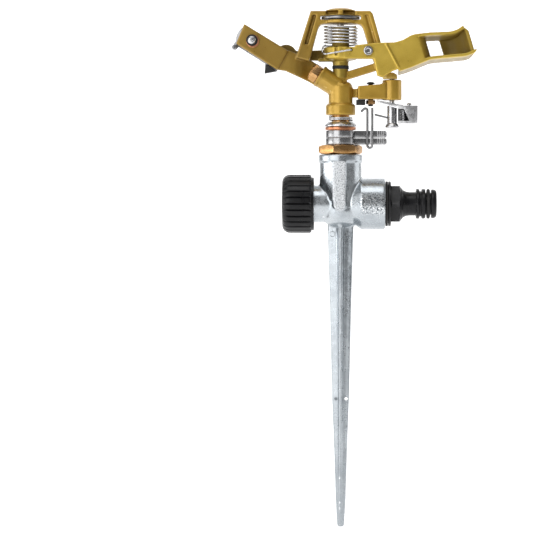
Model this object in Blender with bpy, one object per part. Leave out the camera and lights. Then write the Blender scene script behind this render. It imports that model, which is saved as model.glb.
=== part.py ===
"""Impact sprinkler on a ground spike, as an assembly of separate pieces.

Lengths are in millimetres and are scaled to metres when a piece becomes an object.
The origin is the tip of the spike. Z runs up the spike and the bearing. X runs along the water branch,
from the blanking cap (-X) to the hose connector (+X). The nozzle throws towards -X, and the arm rests
on the +X side of its frame, in front of the leg (-Y).
"""
import math

import bmesh
import bpy
from mathutils import Matrix, Vector

MM = 0.001
GAP = 0.3
FINE = 32
ROUND = 24
SMALL = 12
TINY = 10

# Ground spike: height, half width of the wings, half thickness of the wings, fillet in the corner.
SPIKE_SECTIONS = (
    (0.0, 1.1, 0.8, 0.1),
    (0.9, 2.0, 1.0, 0.3),
    (16.0, 2.9, 1.1, 0.6),
    (45.0, 3.8, 1.2, 0.9),
    (74.0, 4.9, 1.3, 1.2),
    (131.0, 6.2, 1.5, 1.7),
    (172.0, 7.4, 1.7, 2.2),
    (180.0, 7.4, 1.7, 2.2),
)

# Water body.
BRANCH_Z = 187.0
BODY_TOP = 215.0
BODY_RADIUS = 12.1
NECK_RADIUS = 10.6
CAP_THREAD_RADIUS = 13.0
CAP_THREAD_END = -28.8
SOCKET_START = 11.6
SOCKET_END = 25.7
SOCKET_RADIUS = 14.7
SOCKET_BORE = 10.6
PAD_HALF_WIDTH = 3.6
PAD_CENTRE_X = -0.7

# Cap and hose connector, along the branch.
CAP_OPEN_END = -16.8
CAP_CLOSED_END = -33.5
CAP_RADIUS = 16.8
CAP_RIBS = 28
CONNECTOR_FLANGE = 27.5
CONNECTOR_END = 55.2
CONNECTOR_HEX_FLATS = 20.5
CONNECTOR_BORE = 4.6

# Bearing stack on the vertical axis.
NUT_BOTTOM = BODY_TOP + GAP
NUT_TOP = 220.8
NUT_CORNER = 12.85
NUT_TURN = math.radians(11)
STEM_RADIUS = 5.0
STEM_BORE = 3.6
STEM_CLEARANCE = STEM_RADIUS + GAP
BAND_INNER = 7.7
BAND_OUTER = 8.6
BAND_TAB_END = 26.6
LOWER_BAND = (221.1, 224.7)
UPPER_BAND = (225.0, 229.0)

# Head casting.
HEAD_BOTTOM = 238.0
TUBE_RADIUS = 6.95
BARREL_RISE = math.radians(32.3)
BARREL_ROOT_Z = 253.0
BARREL_RADIUS = 6.2
BARREL_LENGTH = 14.5
WATERWAY = 4.2
POST_TOP = 264.1
POST_RADIUS = 3.8
LEG_DEPTH = 4.7
CROWN_TOP = 299.8
CROWN_RADIUS = 9.3
SEAT_SLOT = (292.6, 295.0)
SPINDLE_RADIUS = 1.9

# Trip mechanism, on its own vertical axis beside the head.
TRIP_X = 29.6
TRIP_BOSS = (246.6, 258.2)
TRIP_BOSS_RADIUS = 5.5
BRIDGE = (247.1, 255.3)
SCREW_X = 17.3
BRACKET_RIVET_X = 39.5
TRIP_SPRING_X = 36.2
ROD_START = (28.0, 0.0, 236.3)
ROD_END = (19.6, -2.0, 238.3)
ROD_RADIUS = 0.55

# Swinging arm.
ARM_FRONT = -9.8
ARM_BACK = -5.2
PLATE_BACK = -7.4
SPOON_FRONT = -9.2
SPOON_DEPTH = 8.5
SPOON_DROP = -0.09
HUB_RADIUS = 9.8
HUB_BASE = (270.2, 276.9)
HUB_COLUMN_TOP = 288.6
RIVET_AT = (15.8, 274.4)

# Jet deflector on the head, beside the jet.
PLATE_FACE = 1.8
WALL_BACK = 5.6
FLAP_SCREW = (-51.1, 281.2)
FLAP_TIP = (-61.5, 277.3)
FLAP_TIP_RADIUS = 1.2

COLOURS = {
    "zinc": ((0.62, 0.65, 0.68), 0.35, 0.9),
    "gold_paint": ((0.45, 0.33, 0.06), 0.4, 0.3),
    "brass": ((0.62, 0.38, 0.14), 0.3, 1.0),
    "copper": ((0.65, 0.34, 0.2), 0.3, 1.0),
    "steel": ((0.55, 0.55, 0.57), 0.25, 1.0),
    "black_plastic": ((0.018, 0.018, 0.02), 0.35, 0.0),
    "rubber": ((0.02, 0.02, 0.02), 0.7, 0.0),
    "nylon": ((0.75, 0.73, 0.68), 0.5, 0.0),
}


def clear_scene():
    for scene_object in list(bpy.data.objects):
        bpy.data.objects.remove(scene_object, do_unlink=True)


# Shapes: each function returns a closed bmesh in millimetres.

def closed(bm):
    bmesh.ops.recalc_face_normals(bm, faces=bm.faces)
    return bm


def moved(bm, matrix):
    bmesh.ops.transform(bm, matrix=matrix, verts=bm.verts)
    return bm


def shifted(bm, x=0.0, y=0.0, z=0.0):
    return moved(bm, Matrix.Translation((x, y, z)))


def turned(profile, segments=ROUND, turn=0.0):
    """Turn a list of (radius, z) about Z. It starts and ends on the axis, or closes on itself."""
    bm = bmesh.new()
    rings = []
    for radius, z in profile:
        count = segments if radius > 0 else 1
        angles = [turn + 2 * math.pi * k / segments for k in range(count)]
        rings.append([bm.verts.new((radius * math.cos(a), radius * math.sin(a), z)) for a in angles])
    pairs = list(zip(rings, rings[1:]))
    if profile[0][0] > 0:
        pairs.append((rings[-1], rings[0]))
    for low, high in pairs:
        for k in range(segments):
            after = (k + 1) % segments
            corners = (low[k % len(low)], low[after % len(low)], high[after % len(high)], high[k % len(high)])
            unique = list(dict.fromkeys(corners))
            if len(unique) > 2:
                bm.faces.new(unique)
    return closed(bm)


def cylinder(radius, low, high, segments=ROUND, turn=0.0):
    return turned([(0, low), (radius, low), (radius, high), (0, high)], segments, turn)


def ring(inner, outer, low, high, segments=ROUND):
    return turned([(inner, low), (outer, low), (outer, high), (inner, high)], segments)


def hexagon(flats, low, high, turn=0.0, chamfer=0.5):
    corner = flats / math.sqrt(3)
    profile = [
        (0, low), (corner - chamfer, low), (corner, low + chamfer),
        (corner, high - chamfer), (corner - chamfer, high), (0, high),
    ]
    return turned(profile, 6, turn)


def block(low, high):
    bm = bmesh.new()
    bmesh.ops.create_cube(bm, size=1)
    size = Vector(high) - Vector(low)
    centre = (Vector(high) + Vector(low)) / 2
    return moved(bm, Matrix.Translation(centre) @ Matrix.Diagonal((*size, 1)))


def extruded(outline, low, high, axis="Y"):
    """Extrude a flat outline: (x, z) points along Y, or (x, y) points along Z."""
    bm = bmesh.new()
    bottoms, tops = [], []
    for first, second in outline:
        for level, verts in ((low, bottoms), (high, tops)):
            place = (first, level, second) if axis == "Y" else (first, second, level)
            verts.append(bm.verts.new(place))
    bm.faces.new(bottoms)
    bm.faces.new(tops)
    count = len(outline)
    for k in range(count):
        after = (k + 1) % count
        bm.faces.new((bottoms[k], bottoms[after], tops[after], tops[k]))
    return closed(bm)


def arc(centre, radius, start, end, steps=8):
    """Points on an arc, with the angles in degrees."""
    angles = [math.radians(start + (end - start) * k / steps) for k in range(steps + 1)]
    return [(centre[0] + radius * math.cos(a), centre[1] + radius * math.sin(a)) for a in angles]


def band(path, thickness):
    """The outline of a strip of even thickness along a path, with square ends."""
    left, right = [], []
    for k, point in enumerate(path):
        before = Vector(path[max(k - 1, 0)])
        after = Vector(path[min(k + 1, len(path) - 1)])
        direction = (after - before).normalized()
        side = Vector((-direction.y, direction.x)) * thickness / 2
        left.append(tuple(Vector(point) + side))
        right.append(tuple(Vector(point) - side))
    return left + right[::-1]


def tube(points, radius, sides=8):
    """A round wire along a path, with flat ends."""
    bm = bmesh.new()
    path = [Vector(p) for p in points]
    steps = [(b - a).normalized() for a, b in zip(path, path[1:])]
    tangents = [steps[0]] + [(a + b).normalized() for a, b in zip(steps, steps[1:])] + [steps[-1]]
    normal = tangents[0].orthogonal().normalized()
    rings = []
    for point, tangent in zip(path, tangents):
        normal = (normal - tangent * normal.dot(tangent)).normalized()
        across = tangent.cross(normal)
        angles = [2 * math.pi * k / sides for k in range(sides)]
        rings.append([
            bm.verts.new(point + (normal * math.cos(a) + across * math.sin(a)) * radius) for a in angles
        ])
    for low, high in zip(rings, rings[1:]):
        for k in range(sides):
            after = (k + 1) % sides
            bm.faces.new((low[k], low[after], high[after], high[k]))
    bm.faces.new(rings[0])
    bm.faces.new(rings[-1])
    return closed(bm)


def coil_points(radius, low, high, turns, per_turn=14, start=0.0):
    """Points up a coil. A negative number of turns winds it clockwise, seen from above."""
    count = round(abs(turns) * per_turn)
    points = []
    for k in range(count + 1):
        angle = start + 2 * math.pi * turns * k / count
        height = low + (high - low) * k / count
        points.append((radius * math.cos(angle), radius * math.sin(angle), height))
    return points


def lofted(sections):
    """Join outlines of equal length, each a list of 3-D points, into one closed body."""
    bm = bmesh.new()
    rings = [[bm.verts.new(p) for p in section] for section in sections]
    for low, high in zip(rings, rings[1:]):
        for k in range(len(low)):
            after = (k + 1) % len(low)
            bm.faces.new((low[k], low[after], high[after], high[k]))
    bm.faces.new(rings[0])
    bm.faces.new(rings[-1])
    return closed(bm)


def along_x(bm):
    """Lay a shape that was turned about Z along +X, on the axis of the branch."""
    return moved(bm, Matrix.Translation((0, 0, BRANCH_Z)) @ Matrix.Rotation(math.radians(90), 4, "Y"))


def along_barrel(bm):
    """Lay a shape that was turned about Z along the barrel, with z = 0 where the barrel meets the tube."""
    tilt = Matrix.Rotation(BARREL_RISE - math.radians(90), 4, "Y")
    return moved(bm, Matrix.Translation((0, 0, BARREL_ROOT_Z)) @ tilt)


def along_y(bm, x, z):
    """Lay a shape that was turned about Z along +Y, through the point (x, z)."""
    return moved(bm, Matrix.Translation((x, 0, z)) @ Matrix.Rotation(math.radians(-90), 4, "X"))


def temporary_object(bm):
    mesh = bpy.data.meshes.new("shape")
    bm.to_mesh(mesh)
    bm.free()
    shape = bpy.data.objects.new("shape", mesh)
    bpy.context.collection.objects.link(shape)
    return shape


def combined(base, others, operation):
    """Boolean each of the other shapes with the base one, one after another."""
    for other in others:
        target = temporary_object(base)
        tool = temporary_object(other)
        modifier = target.modifiers.new("boolean", "BOOLEAN")
        modifier.operation = operation
        modifier.solver = "EXACT"
        modifier.object = tool
        base = bmesh.new()
        base.from_object(target, bpy.context.evaluated_depsgraph_get())
        bmesh.ops.remove_doubles(base, verts=base.verts, dist=0.001)
        for shape in (target, tool):
            mesh = shape.data
            bpy.data.objects.remove(shape)
            bpy.data.meshes.remove(mesh)
    return base


def union(base, *others):
    return combined(base, others, "UNION")


def cut(base, *others):
    return combined(base, others, "DIFFERENCE")


def common(base, *others):
    return combined(base, others, "INTERSECT")


# Objects.

def make_material(name):
    colour, roughness, metallic = COLOURS[name]
    material = bpy.data.materials.new(name)
    material.use_nodes = True
    shader = material.node_tree.nodes["Principled BSDF"]
    shader.inputs["Base Color"].default_value = (*colour, 1)
    shader.inputs["Roughness"].default_value = roughness
    shader.inputs["Metallic"].default_value = metallic
    material.diffuse_color = (*colour, 1)
    return material


def make_joint(name, location, parent=None):
    """An empty on a joint's axis, which carries the pieces that move with that joint."""
    empty = bpy.data.objects.new(name, None)
    bpy.context.collection.objects.link(empty)
    empty.empty_display_size = 0.01
    place = Vector(location)
    if parent is not None:
        empty.parent = parent
        place = place - Vector(parent["centre"])
    empty["centre"] = location
    empty.location = place * MM
    return empty


def add_piece(name, bm, material, joint):
    """Make one named piece whose origin is on the axis of its joint."""
    centre = Vector(joint["centre"])
    shifted(bm, *(-centre))
    bmesh.ops.scale(bm, vec=(MM, MM, MM), verts=bm.verts)
    mesh = bpy.data.meshes.new(name)
    bm.to_mesh(mesh)
    bm.free()
    mesh.materials.append(material)
    mesh.shade_smooth()
    mesh.set_sharp_from_angle(angle=math.radians(35))
    piece = bpy.data.objects.new(name, mesh)
    bpy.context.collection.objects.link(piece)
    piece.parent = joint
    return piece


# Ground spike and water body.

def cross_outline(z, half_width, half_thickness, fillet):
    """A cross with filleted inner corners, at height z."""
    quarter = [
        (half_width, -half_thickness * 0.8), (half_width, half_thickness * 0.8),
        (half_thickness + fillet, half_thickness),
        (half_thickness + fillet * 0.3, half_thickness + fillet * 0.3),
        (half_thickness, half_thickness + fillet),
    ]
    points = []
    for k in range(4):
        turn = Matrix.Rotation(math.radians(90) * k, 2)
        points += [turn @ Vector(p) for p in quarter]
    return [(p.x, p.y, z) for p in points]


def spike_body():
    spike = lofted([cross_outline(*section) for section in SPIKE_SECTIONS])
    barrel = turned([
        (0, 173.8), (5.5, 174.2), (9.0, 176.2), (BODY_RADIUS, 181.0), (BODY_RADIUS, 211.0),
        (12.6, 211.4), (12.6, BODY_TOP - 0.4), (12.2, BODY_TOP), (0, BODY_TOP),
    ], FINE)
    cap_neck = along_x(cylinder(NECK_RADIUS, -19.0, 2.0, FINE))
    cap_thread = along_x(turned([
        (0, CAP_THREAD_END), (12.2, CAP_THREAD_END), (CAP_THREAD_RADIUS, CAP_THREAD_END + 0.8),
        (CAP_THREAD_RADIUS, -18.4), (0, -18.4),
    ], FINE))
    socket = along_x(turned([
        (0, 0.5), (10.2, 0.5), (10.8, SOCKET_START - 6.1), (12.6, SOCKET_START - 3.0),
        (14.2, SOCKET_START - 0.6), (SOCKET_RADIUS, SOCKET_START),
        (SOCKET_RADIUS, SOCKET_END - 0.6), (14.1, SOCKET_END), (0, SOCKET_END),
    ], FINE))
    low = BRANCH_Z - 3.8 + PAD_HALF_WIDTH
    pad_outline = arc((PAD_CENTRE_X, low), PAD_HALF_WIDTH, 180, 360, 10)
    pad_outline += [(PAD_CENTRE_X + PAD_HALF_WIDTH, 211.2), (PAD_CENTRE_X - PAD_HALF_WIDTH, 211.2)]
    pad = extruded(pad_outline, -12.8, -9.5)
    casting = union(spike, barrel, cap_neck, cap_thread, socket, pad)
    return cut(
        casting,
        cylinder(9.3, 203.5, BODY_TOP + 1, FINE),
        cylinder(8.0, BRANCH_Z - 2, 204.0, FINE),
        along_x(cylinder(7.5, CAP_THREAD_END - 1, 13.0, FINE)),
        along_x(cylinder(SOCKET_BORE, 12.2, SOCKET_END + 1, FINE)),
    )


def ribbed_section(x, radius, groove, ribs):
    """One cross-section of a ribbed cap: a circle whose radius drops by a groove between ribs."""
    points = []
    for k in range(ribs):
        for step, depth in ((0.0, 0.0), (0.5, 0.0), (0.62, groove), (0.88, groove)):
            angle = 2 * math.pi * (k + step) / ribs
            reach = radius - depth
            points.append((reach * math.cos(angle), reach * math.sin(angle), x))
    return points


def end_cap():
    sections = (
        (CAP_CLOSED_END, 13.6, 0.0), (CAP_CLOSED_END + 0.5, 14.8, 0.05), (CAP_CLOSED_END + 1.6, 15.9, 0.35),
        (CAP_CLOSED_END + 3.4, CAP_RADIUS, 0.7), (CAP_OPEN_END - 0.7, CAP_RADIUS, 0.7),
        (CAP_OPEN_END, CAP_RADIUS - 0.7, 0.0),
    )
    shell = lofted([ribbed_section(x, radius, groove, CAP_RIBS) for x, radius, groove in sections])
    lip = ring(13.9, 15.2, CAP_OPEN_END - 0.5, CAP_OPEN_END + 1.4, FINE)
    hollow = cylinder(13.4, -31.0, CAP_OPEN_END + 2, FINE)
    return along_x(cut(union(shell, lip), hollow))


def hose_connector():
    nose = [
        (0, 13.2), (9.4, 13.2), (10.2, 14.0), (10.2, CONNECTOR_FLANGE), (12.9, CONNECTOR_FLANGE),
        (12.9, CONNECTOR_FLANGE + 1.4), (9.4, 29.0), (9.4, 34.8), (7.9, 36.0), (7.1, 37.6), (6.8, 39.6),
        (6.8, 43.4), (8.2, 43.4), (8.6, 43.8), (8.6, 45.0), (8.2, 45.4), (7.3, 45.4), (7.3, 46.6),
        (8.2, 46.6), (8.6, 47.0), (8.6, 48.4), (8.2, 48.8), (6.35, 48.8), (6.35, 52.2), (8.3, 52.2),
        (8.3, 53.6), (7.9, 54.6), (7.2, CONNECTOR_END), (0, CONNECTOR_END),
    ]
    body = union(turned(nose), hexagon(CONNECTOR_HEX_FLATS, 28.7, 34.5, math.radians(30)))
    return along_x(cut(body, cylinder(CONNECTOR_BORE, 10.0, CONNECTOR_END + 1)))


def connector_oring():
    """A rubber O-ring: its own round section turned about the branch."""
    section = arc((7.65, 50.5), 0.95, 0, 315, 7)
    return along_x(turned(section, ROUND))


# Bearing stack.

def bearing_nut():
    hexagonal = turned([
        (0, NUT_BOTTOM), (NUT_CORNER - 0.7, NUT_BOTTOM), (NUT_CORNER, NUT_BOTTOM + 0.7),
        (NUT_CORNER, NUT_TOP - 0.7), (NUT_CORNER - 0.7, NUT_TOP), (0, NUT_TOP),
    ], 6, NUT_TURN)
    boss = cylinder(BAND_INNER - GAP, NUT_TOP - 1, 229.2)
    shank = cylinder(9.0, 211.0, NUT_BOTTOM + 1)
    return cut(union(hexagonal, boss, shank), cylinder(STEM_CLEARANCE, 200, 240))


def bearing_stem():
    return turned([
        (STEM_BORE, 206.0), (8.6, 206.0), (8.6, 208.0), (STEM_RADIUS, 208.0), (STEM_RADIUS, 243.0),
        (STEM_BORE, 243.0),
    ])


def friction_band(low, high):
    """A spring-steel band round the bearing, whose two ends run out side by side as a tab."""
    outer_angle = math.degrees(math.asin(1.2 / BAND_OUTER))
    inner_angle = math.degrees(math.asin(0.3 / BAND_INNER))
    outline = [(BAND_TAB_END, 1.2)]
    outline += arc((0, 0), BAND_OUTER, outer_angle, 360 - outer_angle, 28)
    outline += [(BAND_TAB_END, -1.2), (BAND_TAB_END, -0.3)]
    outline += arc((0, 0), BAND_INNER, 360 - inner_angle, inner_angle, 28)
    outline += [(BAND_TAB_END, 0.3)]
    return extruded(outline, low, high, "Z")


def cone_washer():
    return turned([
        (STEM_CLEARANCE, 231.5), (9.2, 231.5), (9.2, 232.4), (7.4, 234.1), (STEM_CLEARANCE, 234.1),
    ])


def brake_spring():
    return tube(coil_points(6.55, 234.95, 237.15, 2.6, 16), 0.5, 5)


# Head casting.

def barrel():
    profile = [
        (0, 0), (BARREL_RADIUS, 0), (BARREL_RADIUS, BARREL_LENGTH - 1.6), (6.55, BARREL_LENGTH - 1.5),
        (6.55, BARREL_LENGTH - 0.2), (6.3, BARREL_LENGTH), (0, BARREL_LENGTH),
    ]
    return along_barrel(turned(profile))


def bridge_frame():
    """The frame over the arm: two splayed legs, a crown and rounded inner corners."""
    outside = [
        (-17.2, 297.6), (-25.6, 271.0), (-18.0, 269.0), (-17.1, 272.0), (-12.9, 287.6),
        (-11.6, 289.6), (-9.6, 290.2), (9.6, 290.2), (11.6, 289.6), (12.9, 287.6), (17.6, 272.0),
        (20.4, 265.0), (26.6, 264.2), (22.8, 280.8), (18.5, 296.0), (17.0, 297.6),
    ]
    return extruded(outside, -LEG_DEPTH, LEG_DEPTH)


def crown():
    return turned([
        (0, 290.4), (8.6, 290.4), (CROWN_RADIUS, 291.0), (CROWN_RADIUS, 297.3), (8.3, 298.2),
        (5.5, 299.1), (2.8, 299.6), (0, CROWN_TOP),
    ])


def leg_groove(sign, depth):
    """The recess along the front of a leg."""
    outline = [(-15.9, 295.4), (-13.9, 295.4), (-18.8, 278.4), (-20.8, 278.4)]
    return extruded([(-sign * x, z) for x, z in outline], -LEG_DEPTH - 1, -LEG_DEPTH + depth)


def crown_window(sign):
    """A pocket under the rim of the crown, in front."""
    near, far = sorted((sign * 1.3, sign * 8.2))
    return block((near, -12, 295.5), (far, -LEG_DEPTH - 0.2, 297.5))


def deflector_wall():
    """The curved wall from the barrel past the nozzle, and the flat plate at its end."""
    side = [
        (-36.0, 264.3), (-31.9, 263.7), (-18.9, 257.8), (-12.9, 254.4), (-7.0, 251.5), (-5.0, 256.0),
        (-7.5, 262.5), (-12.5, 267.0), (-18.8, 271.0), (-25.3, 273.6), (-29.4, 275.2), (-31.0, 275.6),
    ]
    centreline = [
        (-3.0, 7.1), (-17.5, 7.1), (-20.0, 6.6), (-23.0, 5.3), (-26.0, 4.5), (-29.0, 4.3), (-36.5, 4.3),
    ]
    wall = common(extruded(side, 0, 12), extruded(band(centreline, 2.6), 240, 290, "Z"))
    plate_outline = [(-55.6, 290.7), (-60.3, 279.3), (-36.5, 264.1), (-30.2, 275.2)]
    plate = extruded(plate_outline, PLATE_FACE, WALL_BACK)
    web = block((-12.0, 2.0, 255.5), (-7.5, 7.6, 262.0))
    seam = moved(
        block((-0.45, -1, -9), (0.45, 3.0, 9)),
        Matrix.Translation((-32.9, 0, 269.6)) @ Matrix.Rotation(math.radians(29), 4, "Y"),
    )
    return cut(union(wall, plate, web), seam)


def trip_bridge():
    """The side bar of the casting, which holds the trip spindle in its end boss."""
    neck = block((4.0, -0.6, 248.2), (11.0, 3.8, 253.2))
    bar_outline = [(9.9, BRIDGE[0]), (26.0, BRIDGE[0]), (26.0, 257.0), (22.6, 255.6), (9.9, 254.6)]
    bar = extruded(bar_outline, 0.1 - TRIP_BOSS_RADIUS, TRIP_BOSS_RADIUS - 0.1)
    boss = shifted(cylinder(TRIP_BOSS_RADIUS, *TRIP_BOSS), TRIP_X)
    return union(bar, neck, boss)


def head_body():
    tube_shape = turned([
        (0, HEAD_BOTTOM), (8.2, HEAD_BOTTOM), (8.55, HEAD_BOTTOM + 0.4), (8.55, 243.4), (7.7, 244.4),
        (TUBE_RADIUS, 244.6), (TUBE_RADIUS, 254.3), (6.2, 256.0), (4.2, 257.6), (0, 258.0),
    ])
    post = cylinder(POST_RADIUS, 252.0, POST_TOP)
    strut = extruded([(1.5, 257.6), (21.0, 263.6), (24.5, 264.6), (22.0, 268.6), (1.5, 262.4)], -2.6, 2.6)
    casting = union(
        tube_shape, barrel(), post, strut, bridge_frame(), crown(), deflector_wall(), trip_bridge(),
    )
    return cut(
        casting,
        cylinder(STEM_CLEARANCE, HEAD_BOTTOM - 1, 243.3),
        cylinder(WATERWAY, 243.0, BARREL_ROOT_Z + 0.5),
        along_barrel(cylinder(WATERWAY, -1.0, BARREL_LENGTH + 1)),
        along_barrel(cylinder(5.0, 8.0, BARREL_LENGTH + 1)),
        cylinder(SPINDLE_RADIUS + GAP, 260.6, POST_TOP + 1, SMALL),
        cylinder(SPINDLE_RADIUS + GAP, 289.0, 297.4, SMALL),
        block((-11.6, -12, SEAT_SLOT[0]), (11.6, 12, SEAT_SLOT[1])),
        crown_window(-1), crown_window(1), leg_groove(-1, 2.6), leg_groove(1, 1.2),
        shifted(cylinder(1.9, 240.0, 262.0, SMALL), TRIP_X),
        shifted(cylinder(1.7, 240.0, 262.0, SMALL), SCREW_X),
        along_y(cylinder(1.9, -5, 12, SMALL), *FLAP_SCREW),
    )


def nozzle():
    body = union(
        cylinder(4.7, 8.4, BARREL_LENGTH + 1, 24),
        hexagon(9.6, BARREL_LENGTH + GAP, BARREL_LENGTH + 4.9, math.radians(20)),
        turned([(0, 18), (4.0, 18), (4.0, 19.6), (3.4, 20.2), (0, 20.2)], 24),
    )
    waterway = turned([(0, 7), (3.6, 7), (3.6, 13), (2.0, 18), (2.0, 22), (0, 22)], SMALL)
    return along_barrel(cut(body, waterway))


def spindle():
    return turned([
        (0, 261.0), (1.6, 261.0), (SPINDLE_RADIUS, 261.4), (SPINDLE_RADIUS, 296.6), (1.6, 297.0), (0, 297.0),
    ], SMALL)


def spring_seat():
    return ring(2.4, 11.0, 293.1, 294.3, FINE)


# Swinging arm.

def leaning(bm, foot):
    """Lean a shape back by 0.3 in X for each unit of height above its foot."""
    shear = Matrix.Identity(4)
    shear[0][2] = -0.3
    return moved(bm, Matrix.Translation((0, 0, foot)) @ shear @ Matrix.Translation((0, 0, -foot)))


def dropping(bm):
    """Let a shape drop towards the back, from the front edge of the spoon."""
    shear = Matrix.Identity(4)
    shear[2][1] = SPOON_DROP
    edge = Matrix.Translation((0, SPOON_FRONT, 0))
    return moved(bm, edge @ shear @ edge.inverted())


def arm_spoon():
    """The water spoon: two flanges, a slanted inner vane and a curved outer vane, open front and back."""
    bottom_edge = [
        (33.2, 263.6), (40.5, 266.0), (48.2, 269.2), (52.8, 270.6), (67.2, 271.9), (72.5, 272.6),
        (78.0, 275.0),
    ]
    bottom = dropping(extruded(band(bottom_edge, 1.7), SPOON_FRONT, SPOON_DEPTH))
    top_edge = [(42.6, 283.2), (52.0, 284.2), (64.0, 284.6), (68.4, 286.0)]
    top = extruded(band(top_edge, 1.7), SPOON_FRONT, SPOON_DEPTH)
    inner = leaning(extruded(band([(47.4, -8.6), (49.6, -5.0), (51.5, -1.5)], 2.0), 269.4, 285.0, "Z"), 270.0)
    curve = arc((61.8, -6.8), 14.9, 97, 4, 12)
    outer = leaning(extruded(band(curve, 2.0), 271.4, 291.0, "Z"), 272.0)
    silhouette = [
        (30.0, 258.0), (42.0, 262.0), (52.8, 267.0), (68.0, 268.6), (74.0, 270.0), (78.2, 275.2),
        (73.6, 286.0), (69.9, 288.8), (67.0, 286.8), (63.5, 285.6), (52.0, 285.2), (41.5, 284.4),
    ]
    return common(union(top, inner, outer, bottom), extruded(silhouette, SPOON_FRONT, SPOON_DEPTH + 1))


def arm_plate():
    """The broad flat face between the bar and the spoon, with the hammer hanging under it."""
    broad = [
        (8.2, 277.6), (20.0, 279.0), (31.0, 279.3), (35.5, 280.6), (40.0, 283.2), (43.2, 284.2),
        (48.6, 269.6), (33.7, 264.2), (30.1, 263.0), (23.8, 259.2), (20.9, 260.1), (18.8, 269.8),
        (8.2, 269.8),
    ]
    thick = [
        (8.3, 277.5), (20.0, 278.9), (25.9, 279.1), (33.6, 264.4), (30.1, 263.1), (23.8, 259.3),
        (21.0, 260.2), (18.9, 269.9), (8.3, 269.9),
    ]
    return union(extruded(broad, SPOON_FRONT, PLATE_BACK), extruded(thick, ARM_FRONT, PLATE_BACK - 0.1))


def arm_tail():
    """The counterweight, which passes behind the left leg."""
    plan = band([(-2.0, 6.2), (-7.5, 8.2), (-12.0, 9.9), (-18.0, 10.3), (-40.0, 10.3)], 2.6)
    side = [(-1.0, 270.4), (-1.0, 276.4), (-12.0, 276.0), (-24.0, 275.6)]
    side += arc((-31.6, 273.0), 6.3, 25, 335, 12)
    side += [(-24.0, 270.2), (-12.0, 269.9)]
    return common(extruded(plan, 262, 284, "Z"), extruded(side, 2, 14))


def arm():
    hub = turned([
        (0, 266.8), (4.3, 266.8), (4.6, 267.1), (4.6, 269.0), (8.6, 269.8), (HUB_RADIUS, 270.6),
        (HUB_RADIUS, HUB_BASE[1] - 0.4), (9.4, HUB_BASE[1]), (5.2, HUB_BASE[1]), (5.0, 277.3),
        (5.0, HUB_COLUMN_TOP - 0.3), (4.7, HUB_COLUMN_TOP), (0, HUB_COLUMN_TOP),
    ])
    bar = block((2.0, ARM_FRONT + 0.01, 269.9), (19.5, ARM_BACK, 276.6))
    lip = extruded([(-13.2, 269.4), (-12.4, 268.7), (0, 268.7), (0, 270.6), (-12.0, 270.6)], -3.2, 3.2)
    shape = union(hub, bar, arm_plate(), arm_spoon(), arm_tail(), lip)
    return cut(
        shape,
        cylinder(SPINDLE_RADIUS + GAP, 260, 292, SMALL),
        along_y(cylinder(1.7, -14, -2, SMALL), *RIVET_AT),
        along_y(cylinder(0.95, -14, -6.5, SMALL), 6.1, 274.9),
        block((-3.4, -14, 271.8), (-1.8, -8.2, 278.0)),
        block((3.6, -14, 276.0), (5.0, -8.2, 279.0)),
    )


def arm_rivet():
    profile = [
        (0, 10.4), (0.9, 10.6), (1.1, 11.3), (2.4, 11.1), (2.85, 10.6), (2.85, 10.1), (1.4, 10.1),
        (1.4, 5.3), (0, 5.3),
    ]
    return along_y(turned([(radius, -y) for radius, y in profile], SMALL), *RIVET_AT)


def arm_spring():
    """The return spring round the hub. Its lower end crosses the hub in front and hooks into a hole."""
    hook = [
        (6.1, -8.6, 274.9), (6.1, -10.4, 274.9), (5.2, -10.9, 274.8), (0.0, -10.7, 273.9),
        (-5.0, -10.4, 273.1), (-8.6, -8.6, 272.7), (-10.1, -6.6, 273.4), (-10.5, -5.2, 275.4),
        (-9.9, -4.6, 277.2),
    ]
    turns = coil_points(9.55, 277.9, 289.4, -6.5, 16, math.radians(205))
    return tube(hook + turns, 0.5, 5)


# Jet deflector.

def deflector_flap():
    """A steel flap behind the plate, which turns about the screw and has a curled tip."""
    x, z = FLAP_SCREW
    outline = arc((x, z), 9.5, 122, 180, 7)
    outline += [(-62.2, 278.7), (-62.8, 277.3), (-62.0, 276.0), (-60.4, 276.2), (-59.0, 277.7)]
    outline += [(-47.1, 270.2), (-43.9, 268.1), (-43.9, 262.2), (-36.9, 263.5)]
    outline += [(-34.8, 268.0), (-44.0, 281.0)]
    sheet = extruded(outline, WALL_BACK + GAP, WALL_BACK + 1.1)
    tip = along_y(cylinder(FLAP_TIP_RADIUS, 0.9, WALL_BACK + 0.9, SMALL), *FLAP_TIP)
    return cut(union(sheet, tip), along_y(cylinder(1.9, 0, 12, SMALL), x, z))


def flap_bumper():
    """A rubber wedge on the flap, under the lower edge of the plate."""
    return extruded([(-43.1, 267.7), (-43.8, 262.3), (-37.1, 263.6)], 2.2, WALL_BACK)


def flap_screw():
    head = turned([(0, -2.0), (1.7, -1.9), (2.25, -1.3), (2.3, -0.3), (1.6, -0.3), (1.6, 9.4), (0, 9.4)], 20)
    slot = moved(block((-4, -0.45, -3), (4, 0.45, -1.1)), Matrix.Rotation(math.radians(35), 4, "Z"))
    return along_y(cut(head, slot), *FLAP_SCREW)


def flap_part(inner, outer, near, far, segments=24):
    return along_y(ring(inner, outer, near, far, segments), *FLAP_SCREW)


def flap_nut():
    return along_y(cut(hexagon(5.5, 7.0, 9.0, 0.0, 0.3), cylinder(1.9, 5, 12, SMALL)), *FLAP_SCREW)


# Trip mechanism.

def bridge_screw():
    profile = [(0, 243.2), (1.4, 243.2), (1.4, 255.9), (2.4, 255.9), (2.2, 256.6), (1.3, 257.1), (0, 257.2)]
    return shifted(turned(profile, SMALL), SCREW_X)


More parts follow.
